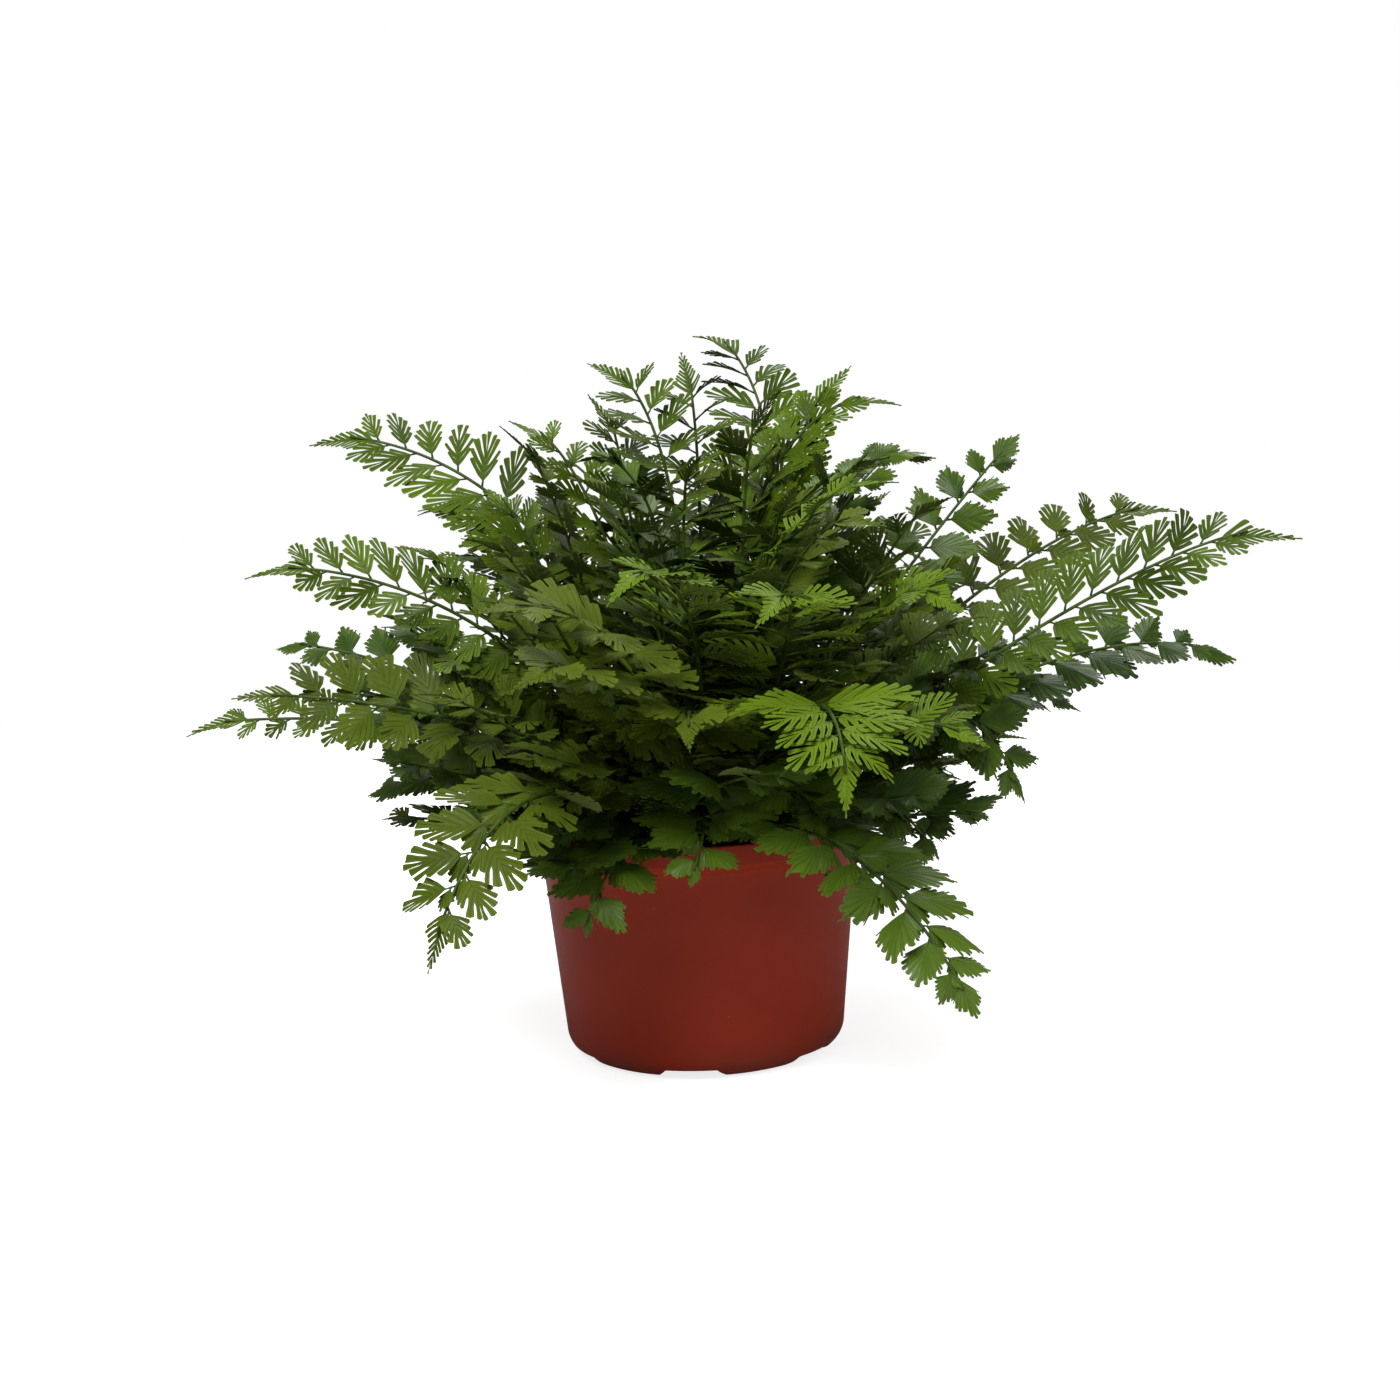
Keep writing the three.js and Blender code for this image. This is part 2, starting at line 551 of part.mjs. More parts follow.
function coiledLine(c) {
  const foot = onCrown(c.azimuth, COILED_RING);
  const outwards = polar(c.azimuth, 1, 0);
  const rise = UP.clone().multiplyScalar(Math.cos(rad(c.lean)))
    .addScaledVector(outwards, Math.sin(rad(c.lean)));
  const inwards = new THREE.Vector3().crossVectors(rise, polar(c.azimuth + 90, 1, 0)).normalize();
  const stem = [0, 0.35, 0.7].map((share) => foot.clone()
    .addScaledVector(rise, c.height * share));
  const centre = foot.clone().addScaledVector(rise, c.height).addScaledVector(inwards, c.coil);
  const steps = 15;
  const roll = Array.from({ length: steps + 1 }, (_, i) => {
    const share = i / steps;
    const radius = c.coil * (1 - (1 - COIL_CORE) * share);
    const turn = 2 * Math.PI * COIL_TURNS * share;
    return centre.clone().addScaledVector(inwards, -radius * Math.cos(turn))
      .addScaledVector(rise, radius * Math.sin(turn));
  });
  return { points: [...stem, ...roll], flat: polar(c.azimuth + 90, 1, 0) };
}

function coiledGeometry(c) {
  const { points: line, flat } = coiledLine(c);
  const points = [];
  const triangles = [];
  line.forEach((at, i) => {
    const along = line[Math.min(i + 1, line.length - 1)].clone()
      .sub(line[Math.max(i - 1, 0)]).normalize();
    const other = new THREE.Vector3().crossVectors(along, flat).normalize();
    const radius = THREE.MathUtils.lerp(STALK_THICKNESS / 2, TIP_THICKNESS / 2, i / line.length);
    for (let k = 0; k < TUBE_SIDES; k++) {
      const turn = (2 * Math.PI * k) / TUBE_SIDES;
      points.push(at.clone().addScaledVector(flat, radius * Math.cos(turn))
        .addScaledVector(other, radius * Math.sin(turn)));
    }
  });
  const at = (ring, k) => ring * TUBE_SIDES + (k % TUBE_SIDES);
  for (let ring = 0; ring < line.length - 1; ring++)
    for (let k = 0; k < TUBE_SIDES; k++)
      triangles.push([at(ring, k), at(ring, k + 1), at(ring + 1, k)],
        [at(ring, k + 1), at(ring + 1, k + 1), at(ring + 1, k)]);
  for (let k = 1; k < TUBE_SIDES - 1; k++)
    triangles.push([at(0, 0), at(0, k + 1), at(0, k)],
      [at(line.length - 1, 0), at(line.length - 1, k), at(line.length - 1, k + 1)]);
  return meshOf(points, triangles);
}

// ---------------------------------------------------------------- Assembly
addPart("pot", toGeometry(potSolid()), 0x8f3523, 0.55);
addPart("potting_mix", soilGeometry(), 0x2b1f17, 0.95);
addPart("crown", crownGeometry(), 0x3a2a1a, 0.9);

for (const c of COILED_FRONDS) {
  take(new THREE.CatmullRomCurve3(coiledLine(c).points).getSpacedPoints(80), c.name);
  addPart(c.name, coiledGeometry(c), 0x6d8c4a, 0.6);
}

const plans = FRONDS.map(planOf);
for (const plan of plans) {
  const beads = Math.ceil((2 * plan.length) / LEAF_CLEARANCE);
  take(plan.line.getSpacedPoints(beads), plan.f.name);
}
const ends = plans.map(endLeaflet);
plans.forEach((plan, i) => {
  const leaves = Array.from({ length: plan.pairs }, (_, k) => (
    { left: sideLeaflet(plan, k, 1), right: sideLeaflet(plan, k, -1) }));
  addPart(`frond_${plan.f.name}`, frondGeometry(plan, leaves, ends[i]), plan.kind.colour, 0.45);
});

export default part;
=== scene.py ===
# %% [markdown]
# # A potted spleenwort fern
# A nursery fern is four things: a thin plastic pot, peaty potting mix, a short scaly crown, and the
# fronds that rise from that crown. Each frond is a stalk with leaf blades in pairs, and each blade is
# cut into fingers. Everything here is worked out as arrays of points with numpy, because a leaf is
# easiest to describe by a formula: where a point lies along its finger, and how far to the side.

import bpy
import mathutils
import numpy as np
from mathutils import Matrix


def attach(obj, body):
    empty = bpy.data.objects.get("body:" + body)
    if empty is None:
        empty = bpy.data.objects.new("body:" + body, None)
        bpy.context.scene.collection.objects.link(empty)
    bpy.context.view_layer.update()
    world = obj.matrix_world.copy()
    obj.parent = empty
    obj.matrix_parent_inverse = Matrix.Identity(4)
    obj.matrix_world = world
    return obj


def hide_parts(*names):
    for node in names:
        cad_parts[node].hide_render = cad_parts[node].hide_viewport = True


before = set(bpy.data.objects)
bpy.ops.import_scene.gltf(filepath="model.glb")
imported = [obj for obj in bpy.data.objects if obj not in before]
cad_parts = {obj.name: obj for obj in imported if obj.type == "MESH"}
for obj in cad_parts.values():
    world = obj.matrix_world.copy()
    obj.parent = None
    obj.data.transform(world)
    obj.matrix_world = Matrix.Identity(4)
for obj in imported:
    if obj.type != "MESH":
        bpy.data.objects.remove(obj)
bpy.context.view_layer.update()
MM = 0.001

# %% [markdown]
# ## Small tools for arrays of points
# Every shape below is a table of points in millimetres and tables of faces. These few helpers turn
# vectors, join shapes, and hand a finished shape to Blender in one go, which is far quicker than
# adding points one at a time. Blender counts in metres, so the millimetres become metres there.

# %% Vectors
UP = np.array([0.0, 0.0, 1.0])


def unit(v):
    """Each vector divided by its own length."""
    return v / np.linalg.norm(v, axis=-1, keepdims=True)


def dot(a, b):
    """Products of matching coordinates, summed, kept as a column."""
    return (a * b).sum(-1, keepdims=True)


def polar(azimuth, radius, height):
    """Points at an azimuth in degrees, a distance from the pot's axis, and a height."""
    turn = np.radians(azimuth)
    parts = np.broadcast_arrays(radius * np.cos(turn), radius * np.sin(turn), height)
    return np.stack(parts, -1).astype(float)


def between(a, b, share):
    """The value that lies at a share of the way from a to b."""
    return a + (b - a) * share


def ripple(points, wavelength, seed):
    """Soft unevenness, about -1 to 1: the mean of eight sine waves that run in random directions."""
    draw = np.random.default_rng(seed)
    ways = unit(draw.normal(size=(8, 3))) * 2 * np.pi / wavelength
    starts = draw.uniform(0, 2 * np.pi, 8)
    return np.sin(points @ ways.T + starts).sum(-1) / 2.8


# %% Shapes as tables
def surface(points, faces, skin=0, **values):
    """A shape: points, tables of faces, the skin of its faces, and named values at each point."""
    points = np.asarray(points, float).reshape(-1, 3)
    faces = [np.asarray(table, int) for table in faces]
    return {
        "points": points,
        "faces": faces,
        "skins": [np.full(len(table), skin) for table in faces],
        "values": {k: np.broadcast_to(v, len(points)).astype(float) for k, v in values.items()},
    }


def joined(parts):
    """One shape made of several. The point numbers of each move past those before it."""
    starts = np.cumsum([0] + [len(part["points"]) for part in parts])
    labels = sorted({label for part in parts for label in part["values"]})
    return {
        "points": np.concatenate([part["points"] for part in parts]),
        "faces": [table + start for part, start in zip(parts, starts) for table in part["faces"]],
        "skins": [skins for part in parts for skins in part["skins"]],
        "values": {
            label: np.concatenate(
                [part["values"].get(label, np.zeros(len(part["points"]))) for part in parts]
            )
            for label in labels
        },
    }


def copies(points, faces, skin=0, **values):
    """Many copies of one small shape: points is (copies, points of one, 3), faces is for one."""
    count, size = points.shape[:2]
    starts = (np.arange(count) * size)[:, None, None]
    tables = [(starts + np.asarray(table)[None]).reshape(-1, len(table[0])) for table in faces]
    spread = {k: np.broadcast_to(v, (count, size)).ravel() for k, v in values.items()}
    return surface(points.reshape(-1, 3), tables, skin, **spread)


# %% From a shape to a Blender piece
def make_piece(name, shape, materials, slot, stands_for=(), crease=180):
    """Makes an object whose place is in its mesh. In a closed piece, edges between two skins, and edges
    where the faces meet at more than the crease angle, are drawn sharp. A piece with a slot rides on the
    body, root."""
    sizes = np.concatenate([np.full(len(t), t.shape[1]) for t in shape["faces"]])
    corners = np.concatenate([t.ravel() for t in shape["faces"]])
    skins = np.concatenate(shape["skins"])
    mesh = bpy.data.meshes.new(name)
    mesh.vertices.add(len(shape["points"]))
    mesh.vertices.foreach_set("co", (shape["points"] * MM).ravel())
    mesh.loops.add(len(corners))
    mesh.loops.foreach_set("vertex_index", corners.astype(np.int32))
    mesh.polygons.add(len(sizes))
    mesh.polygons.foreach_set("loop_start", (np.cumsum(sizes) - sizes).astype(np.int32))
    mesh.polygons.foreach_set("material_index", skins.astype(np.int32))
    mesh.polygons.foreach_set("use_smooth", np.ones(len(sizes), bool))
    mesh.update(calc_edges=True)

    edge_of_corner = np.zeros(len(corners), np.int32)
    mesh.loops.foreach_get("edge_index", edge_of_corner)
    face_of_corner = np.repeat(np.arange(len(sizes)), sizes)
    closed = bool((np.bincount(edge_of_corner) == 2).all())
    if closed:
        normals = np.zeros(len(sizes) * 3, np.float32)
        mesh.polygons.foreach_get("normal", normals)
        normals = normals.reshape(-1, 3)
        pair = face_of_corner[np.argsort(edge_of_corner, kind="stable")].reshape(-1, 2)
        bend = (normals[pair[:, 0]] * normals[pair[:, 1]]).sum(1)
        sharp = (skins[pair[:, 0]] != skins[pair[:, 1]]) | (bend < np.cos(np.radians(crease)))
        mesh.edges.foreach_set("use_edge_sharp", sharp)
    for label, values in shape["values"].items():
        layer = mesh.attributes.new(label, "FLOAT", "POINT")
        layer.data.foreach_set("value", values.astype(np.float32))

    piece = bpy.data.objects.new(name, mesh)
    bpy.context.scene.collection.objects.link(piece)
    for material in materials:
        mesh.materials.append(material)
    if slot:
        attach(piece, "root")
    if stands_for:
        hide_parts(*stands_for)
    note = "" if closed else ", NOT CLOSED"
    print(f"{name}: {len(sizes)} faces{note}")
    return piece


# %% [markdown]
# ## Shader tools
# A material is a small network of nodes. Writing each node and link out by hand is long, so one
# helper adds a node and joins its inputs, and another opens a node group with named sockets. A group
# is worth making when several materials need the same effect, here an uneven mix of two colours.


# %% Nodes and groups
def add(tree, kind, inputs=None, **settings):
    """Adds a node, gives it its settings, and sets or joins its inputs by name or number."""
    made = tree.nodes.new("ShaderNode" + kind)
    for key, value in settings.items():
        setattr(made, key, value)
    for key, value in (inputs or {}).items():
        if isinstance(value, bpy.types.NodeSocket):
            tree.links.new(value, made.inputs[key])
        else:
            made.inputs[key].default_value = value
    return made


def mixed(tree, share, a, b, way="MIX"):
    """The colour that lies at a share of the way from a to b, or another way of mixing them."""
    made = add(tree, "Mix", {0: share, 6: a, 7: b}, data_type="RGBA", blend_type=way)
    return made.outputs[2]


def sums(tree, way, *values):
    """One of Blender's Math operations on one to three numbers."""
    made = add(tree, "Math", dict(enumerate(values)), operation=way)
    return made.outputs[0]


def eased(tree, value, low, high, start=0.0, end=1.0):
    """Runs smoothly from start to end while the value runs from low to high."""
    limits = {0: value, 1: low, 2: high, 3: start, 4: end}
    return add(tree, "MapRange", limits, interpolation_type="SMOOTHSTEP").outputs[0]


def reading(tree, label):
    """The named value that a shape carries at each of its points."""
    return add(tree, "Attribute", attribute_name=label).outputs["Fac"]


# %% Groups and materials
def new_group(name, inputs, outputs):
    """A node group with the named inputs and outputs."""
    tree = bpy.data.node_groups.new(name, "ShaderNodeTree")
    for label, value in inputs.items():
        kind = "NodeSocketColor" if isinstance(value, tuple) else "NodeSocketFloat"
        socket = tree.interface.new_socket(label, in_out="INPUT", socket_type=kind)
        socket.default_value = value
    for label, kind in outputs.items():
        tree.interface.new_socket(label, in_out="OUTPUT", socket_type="NodeSocket" + kind)
    return tree, tree.nodes.new("NodeGroupInput").outputs, tree.nodes.new("NodeGroupOutput").inputs


def finish_group(tree, sockets, results):
    """Joins the results to the group's outputs."""
    for label, value in results.items():
        tree.links.new(value, sockets[label])


def new_material(name, **uniform):
    """A material with one Principled shader, and the numbers that are the same all over it."""
    material = bpy.data.materials.new(name)
    material.use_nodes = True
    shader = material.node_tree.nodes["Principled BSDF"]
    for label, value in uniform.items():
        shader.inputs[label.replace("_", " ")].default_value = value
    return material, material.node_tree, shader


def wear(tree, shader, color=None, roughness=None, height=None, depth=0.0001, strength=0.6):
    """Joins a colour, a roughness and a relief of the given depth in metres to the shader."""
    if color is not None:
        tree.links.new(color, shader.inputs["Base Color"])
    if roughness is not None:
        tree.links.new(roughness, shader.inputs["Roughness"])
    if height is not None:
        bump = add(tree, "Bump", {"Height": height, "Distance": depth, "Strength": strength})
        tree.links.new(bump.outputs["Normal"], shader.inputs["Normal"])


# %% The group that all materials share: an uneven mix of two colours
mottle_group, given, result = new_group(
    "uneven colour",
    {"Low": (0.1, 0.1, 0.1, 1.0), "High": (0.5, 0.5, 0.5, 1.0), "Scale": 100.0, "Push": 0.0},
    {"Color": "Color", "Mask": "Float", "Grain": "Float"},
)
place = add(mottle_group, "TexCoord").outputs["Object"]
broad_noise = add(
    mottle_group, "TexNoise", {"Vector": place, "Scale": given["Scale"], "Detail": 3.0}
).outputs["Fac"]
fine_scale = sums(mottle_group, "MULTIPLY", given["Scale"], 6.5)
fine_noise = add(
    mottle_group, "TexNoise", {"Vector": place, "Scale": fine_scale, "Detail": 2.0}
).outputs["Fac"]
pushed = sums(mottle_group, "ADD", broad_noise, given["Push"])
mask = eased(mottle_group, pushed, 0.3, 0.7)
finish_group(
    mottle_group,
    result,
    {"Color": mixed(mottle_group, mask, given["Low"], given["High"]), "Mask": mask, "Grain": fine_noise},
)


def mottled(tree, low, high, scale, push=0.0):
    """Places the shared group in a material, with this material's own values."""
    placed = add(tree, "Group", node_tree=mottle_group)
    for label, value in {"Low": low, "High": high, "Scale": scale, "Push": push}.items():
        if isinstance(value, bpy.types.NodeSocket):
            tree.links.new(value, placed.inputs[label])
        else:
            placed.inputs[label].default_value = (*value, 1.0) if isinstance(value, tuple) else value
    return placed.outputs


print("shared group:", mottle_group.name, "of", len(mottle_group.nodes), "nodes")

# %% [markdown]
# ## The pot
# A nursery pot is blown or pressed from thin coloured plastic: a tapered body, a short step and an
# upright band at the rim, a rounded corner at the foot, and a raised floor with drain holes. A turned
# profile gives all of it but the notches in the foot ring, where water runs off. Those are made by
# lifting the profile's lowest points wherever a notch crosses them, so no cutting is needed there.

# %% Sizes of the pot and what is in it, in mm
RIM_RADIUS = 60.0
POT_HEIGHT = 82.0
RIM_BAND = 7.2
SHOULDER_HEIGHT = 71.3
SHOULDER_RADIUS = 54.0
BASE_RADIUS = 47.0
WALL = 1.2
CORNER_RADIUS = 8.0
FLOOR_RAISE = 4.0
MIDDLE_FOOT_RADIUS = 12.0
FOOT_RING_WIDTH = 3.0
NOTCHES = 6
NOTCH_AZIMUTH = -97.0
NOTCH_HEIGHT = 3.4
NOTCH_HALF_WIDTH = 11.5
NOTCH_LEAN = 3.0
DRAIN_RADIUS = 4.5
DRAIN_CIRCLE_RADIUS = 28.0
SOIL_TOP = 70.0
SOIL_MOUND = 3.0
SOIL_BEND_RADIUS = 41.5  # where the mix starts to rise more steeply towards the crown
CROWN_RADIUS = 23.0
CROWN_RISE = 9.0
CROWN_DEPTH = 10.0
CROWN_TAPER = 0.6
TOUCH_GAP = 0.3


def body_radius(z):
    """The body's outer radius at a height: it widens evenly from the ground to the shoulder."""
    return BASE_RADIUS + (SHOULDER_RADIUS - BASE_RADIUS) * z / SHOULDER_HEIGHT


print("pot:", 2 * RIM_RADIUS, "mm across the rim,", POT_HEIGHT, "mm high")


# %% [markdown]
# ### Profiles
# Anything round is easiest as a turned profile: half of its outline, carried once round the axis like
# clay on a wheel. Blender has a Spin tool and a Screw modifier for this. A table of points does the
# same, and its rings can be reshaped before they become a mesh, as the notches need.


# %% Turning a profile
def turned(profile, segments, reshape=None, skin=0, **values):
    """Point (i, k) is profile point i, turned to angle k. The profile starts and ends on the axis,
    where a fan of triangles closes it. reshape may move the points before they are joined."""
    profile = np.asarray(profile, float)
    turn = np.linspace(0, 2 * np.pi, segments, endpoint=False)
    radius, height = profile[1:-1, :1], profile[1:-1, 1:]
    grid = np.stack(
        np.broadcast_arrays(radius * np.cos(turn), radius * np.sin(turn), height), -1
    ).astype(float)
    if reshape is not None:
        grid = reshape(grid)
    rings = len(grid)
    number = np.arange(rings * segments).reshape(rings, segments)
    ahead = np.roll(number, -1, axis=1)
    quads = np.stack([number[:-1], ahead[:-1], ahead[1:], number[1:]], -1).reshape(-1, 4)
    foot, head = rings * segments, rings * segments + 1
    low = np.stack([np.full(segments, foot), ahead[0], number[0]], -1)
    high = np.stack([np.full(segments, head), number[-1], ahead[-1]], -1)
    ends = [[0, 0, profile[0, 1]], [0, 0, profile[-1, 1]]]
    points = np.concatenate([grid.reshape(-1, 3), ends])
    return surface(points, [quads, np.concatenate([low, high])], skin, **values)


def rounded(centre, radius, start, end, steps):
    """Points of an arc in a profile, from one angle to another, in degrees."""
    turn = np.radians(np.linspace(start, end, steps + 1))
    return np.stack([centre[0] + radius * np.cos(turn), centre[1] + radius * np.sin(turn)], -1)


def straight(start, end, steps):
    """Points evenly along a straight stretch of a profile, without its two ends."""
    share = np.linspace(0, 1, steps + 1)[1:-1, None]
    return between(np.array(start, float), np.array(end, float), share)


# %% The pot's shape
POT_SEGMENTS = 360
LIP = 0.55  # radius of the rounded edges of the rim band


def cut_notches(grid):
    """Lifts the lowest points to the roof of a notch where one crosses the foot ring. A notch's
    roof rises from its two feet at the slope of its sides, and is level between them."""
    azimuth = np.degrees(np.arctan2(grid[..., 1], grid[..., 0])) - NOTCH_AZIMUTH
    spacing = 360 / NOTCHES
    turn = (azimuth + spacing / 2) % spacing - spacing / 2
    radius = np.hypot(grid[..., 0], grid[..., 1])
    off_centre = np.abs(radius * np.sin(np.radians(turn)))
    roof = (NOTCH_HALF_WIDTH - off_centre) * NOTCH_HEIGHT / NOTCH_LEAN
    roof = np.clip(roof, 0, NOTCH_HEIGHT)
    on_ring = radius > MIDDLE_FOOT_RADIUS + 1
    lifted = np.maximum(grid[..., 2], np.where(on_ring, roof, 0))
    return np.concatenate([grid[..., :2], lifted[..., None]], -1)


ring_out = body_radius(CORNER_RADIUS)
ring_in = ring_out - CORNER_RADIUS - FOOT_RING_WIDTH
floor_top = FLOOR_RAISE + WALL
band_foot = POT_HEIGHT - RIM_BAND
inner_bevel = CORNER_RADIUS / 2
pot_profile = np.concatenate([
    [[0, 0], [MIDDLE_FOOT_RADIUS - 1, 0], [MIDDLE_FOOT_RADIUS - 0.4, 0]],
    [[MIDDLE_FOOT_RADIUS, 0.4], [MIDDLE_FOOT_RADIUS, FLOOR_RAISE]],
    straight((MIDDLE_FOOT_RADIUS, FLOOR_RAISE), (ring_in, FLOOR_RAISE), 10),
    [[ring_in, FLOOR_RAISE], [ring_in + 0.01, 0.5], [ring_in + 0.5, 0]],
    rounded((ring_out - CORNER_RADIUS, CORNER_RADIUS), CORNER_RADIUS, -90, -2, 16),
    straight((ring_out, CORNER_RADIUS), (SHOULDER_RADIUS, SHOULDER_HEIGHT), 14),
    [[SHOULDER_RADIUS - 0.05, SHOULDER_HEIGHT - 0.5], [SHOULDER_RADIUS + 0.35, SHOULDER_HEIGHT + 0.2]],
    straight((SHOULDER_RADIUS, SHOULDER_HEIGHT), (RIM_RADIUS, band_foot), 5),
    rounded((RIM_RADIUS - LIP, band_foot + LIP), LIP, -60, 0, 4),
    straight((RIM_RADIUS, band_foot + LIP), (RIM_RADIUS, POT_HEIGHT - LIP), 4),
    rounded((RIM_RADIUS - LIP, POT_HEIGHT - LIP), LIP, 0, 90, 5),
    rounded((RIM_RADIUS - WALL + LIP, POT_HEIGHT - LIP), LIP, 90, 180, 5),
    straight((RIM_RADIUS - WALL, POT_HEIGHT - LIP), (RIM_RADIUS - WALL, band_foot), 4),
    [[RIM_RADIUS - WALL, band_foot], [SHOULDER_RADIUS - WALL, SHOULDER_HEIGHT]],
    straight(
        (SHOULDER_RADIUS - WALL, SHOULDER_HEIGHT),
        (body_radius(floor_top + inner_bevel) - WALL, floor_top + inner_bevel), 8),
    [[body_radius(floor_top + inner_bevel) - WALL, floor_top + inner_bevel]],
    [[body_radius(floor_top) - WALL - inner_bevel, floor_top]],
    [[MIDDLE_FOOT_RADIUS, floor_top], [0, floor_top]],
])
print("pot profile:", len(pot_profile), "points")

# %% [markdown]
# ### The pot's plastic
# The plastic is coloured right through, so its colour hardly changes. What shows is a soft sheen,
# a very fine moulding grain, faint cloudy marks, and a patchy darker brown towards the foot.

# %% Pot material
pot_plastic, tree, shader = new_material("terracotta_plastic", Specular_IOR_Level=0.14)
clouds = mottled(tree, (0.300, 0.0285, 0.0105), (0.345, 0.0330, 0.0122), 26.0)
specks = add(tree, "TexVoronoi", {"Scale": 260.0}, feature="F1")
tree.links.new(add(tree, "TexCoord").outputs["Object"], specks.inputs["Vector"])
speck_mask = eased(tree, specks.outputs["Distance"], 0.05, 0.09, 0.35, 0.0)
lot = add(tree, "SeparateColor", {0: specks.outputs["Color"]}).outputs[0]  # each cell's own random number
few = sums(tree, "GREATER_THAN", lot, 0.93)
speck_mask = sums(tree, "MULTIPLY", speck_mask, few)
pot_height = add(tree, "SeparateXYZ", {0: add(tree, "TexCoord").outputs["Object"]}).outputs[2]
near_foot = eased(tree, pot_height, 0.002, 0.014, 0.55, 0.0)
# A patchy darker brown at the foot, fading out 14 mm up
foot_darkening_mask = sums(tree, "MULTIPLY", near_foot, clouds["Mask"])
pot_color = mixed(tree, speck_mask, clouds["Color"], (0.42, 0.17, 0.12, 1.0))
pot_color = mixed(tree, foot_darkening_mask, pot_color, (0.10, 0.045, 0.03, 1.0))
pot_rough = sums(tree, "MULTIPLY_ADD", clouds["Grain"], 0.16, 0.40)
wear(tree, shader, pot_color, pot_rough, clouds["Grain"], 0.00006, 0.5)
print("pot plastic:", len(tree.nodes), "nodes")

# %% [markdown]
# ### Drain holes
# A hole that isn't on the axis can't come from a turned profile. Rods of the right size stand where
# the holes go, and a Boolean modifier takes them out of the floor. Its result replaces the mesh, so
# no modifier is left to slow the file down, and the rods are thrown away.

# %% Make the pot and bore its drain holes
pot = make_piece("pot_body", turned(pot_profile, POT_SEGMENTS, cut_notches), [pot_plastic], "pot",
                 ["pot"], crease=32)
ROD_SIDES = 32
ROD_ENDS = np.array([[0, 0, 2.0], [0, 0, 8.0]])  # just under and just over the raised floor


def drain_cutters():
    """Six upright rods through the floor, halfway between the notches: circle times height."""
    turn = np.linspace(0, 2 * np.pi, ROD_SIDES, endpoint=False)
    spots = polar(NOTCH_AZIMUTH + 360 / NOTCHES * (np.arange(NOTCHES) + 0.5), DRAIN_CIRCLE_RADIUS, 0)
    circle = polar(np.degrees(turn), DRAIN_RADIUS, 0)
    rod = np.concatenate([(circle + ROD_ENDS[:, None]).reshape(-1, 3), ROD_ENDS])
    k = np.arange(ROD_SIDES)
    ahead = (k + 1) % ROD_SIDES
    low_centre, high_centre = 2 * ROD_SIDES, 2 * ROD_SIDES + 1
    sides = np.stack([k, ahead, ahead + ROD_SIDES, k + ROD_SIDES], -1)
    low = np.stack([np.full(ROD_SIDES, low_centre), ahead, k], -1)
    high = np.stack([np.full(ROD_SIDES, high_centre), k + ROD_SIDES, ahead + ROD_SIDES], -1)
    return copies(spots[:, None] + rod[None], [sides, np.concatenate([low, high])])


cutter = make_piece("drain_cutter", drain_cutters(), [pot_plastic], "pot")
bore = pot.modifiers.new("drains", "BOOLEAN")
bore.object, bore.operation, bore.solver = cutter, "DIFFERENCE", "EXACT"
bored = bpy.data.meshes.new_from_object(pot.evaluated_get(bpy.context.evaluated_depsgraph_get()))
pot.modifiers.clear()
pot.data = bored
bpy.data.objects.remove(cutter)
print("pot with its drains:", len(bored.polygons), "faces")

# %% [markdown]
# ## Potting mix
# Peat and bark settle into an uneven surface that rises a little towards the plant. The body of the
# mix is a turned profile whose top is made uneven by a few sine waves. On it lie loose crumbs, each a
# cube cut in four on every side, blown up to a ball and dented, which is cheap enough to repeat.

# %% Body of the mix
inside = WALL + TOUCH_GAP
soil_edge = body_radius(SOIL_TOP) - inside
pocket_top, pocket_foot = CROWN_RADIUS + TOUCH_GAP, CROWN_RADIUS * CROWN_TAPER + TOUCH_GAP
pocket_floor = SOIL_TOP - CROWN_DEPTH
floor_mix = floor_top + TOUCH_GAP
mix_corner = (body_radius(floor_mix + inner_bevel) - inside, floor_mix + inner_bevel)
bend_in_slope = (SOIL_BEND_RADIUS, SOIL_TOP + SOIL_MOUND / 2)
soil_profile = np.concatenate([
    [[0, floor_mix], [body_radius(floor_mix) - inside - inner_bevel, floor_mix], mix_corner],
    straight(mix_corner, (soil_edge, SOIL_TOP), 8),
    [[soil_edge, SOIL_TOP - 0.6]],
    straight((soil_edge, SOIL_TOP), bend_in_slope, 16),
    straight(bend_in_slope, (pocket_top, SOIL_TOP + SOIL_MOUND), 22),
    [[pocket_top, SOIL_TOP + SOIL_MOUND], [pocket_foot, pocket_floor], [0, pocket_floor]],
])
BIG_LUMPS = {"wavelength": 11.0, "seed": 3}
SMALL_LUMPS = {"wavelength": 3.6, "seed": 4}
LUMP_HEIGHT = 0.55  # of the big lumps, in mm
print("potting mix: from", round(floor_mix, 2), "to", SOIL_TOP + SOIL_MOUND, "mm high")


def uneven_soil(grid):
    """Adds two sizes of ripple to the height of the points on top of the mix."""
    on_top = (grid[..., 2] > SOIL_TOP - 0.3) & (np.hypot(grid[..., 0], grid[..., 1]) > pocket_top - 0.1)
    lumps = ripple(grid, **BIG_LUMPS) * LUMP_HEIGHT + ripple(grid, **SMALL_LUMPS) * 0.45
    return grid + (on_top * lumps)[..., None] * UP


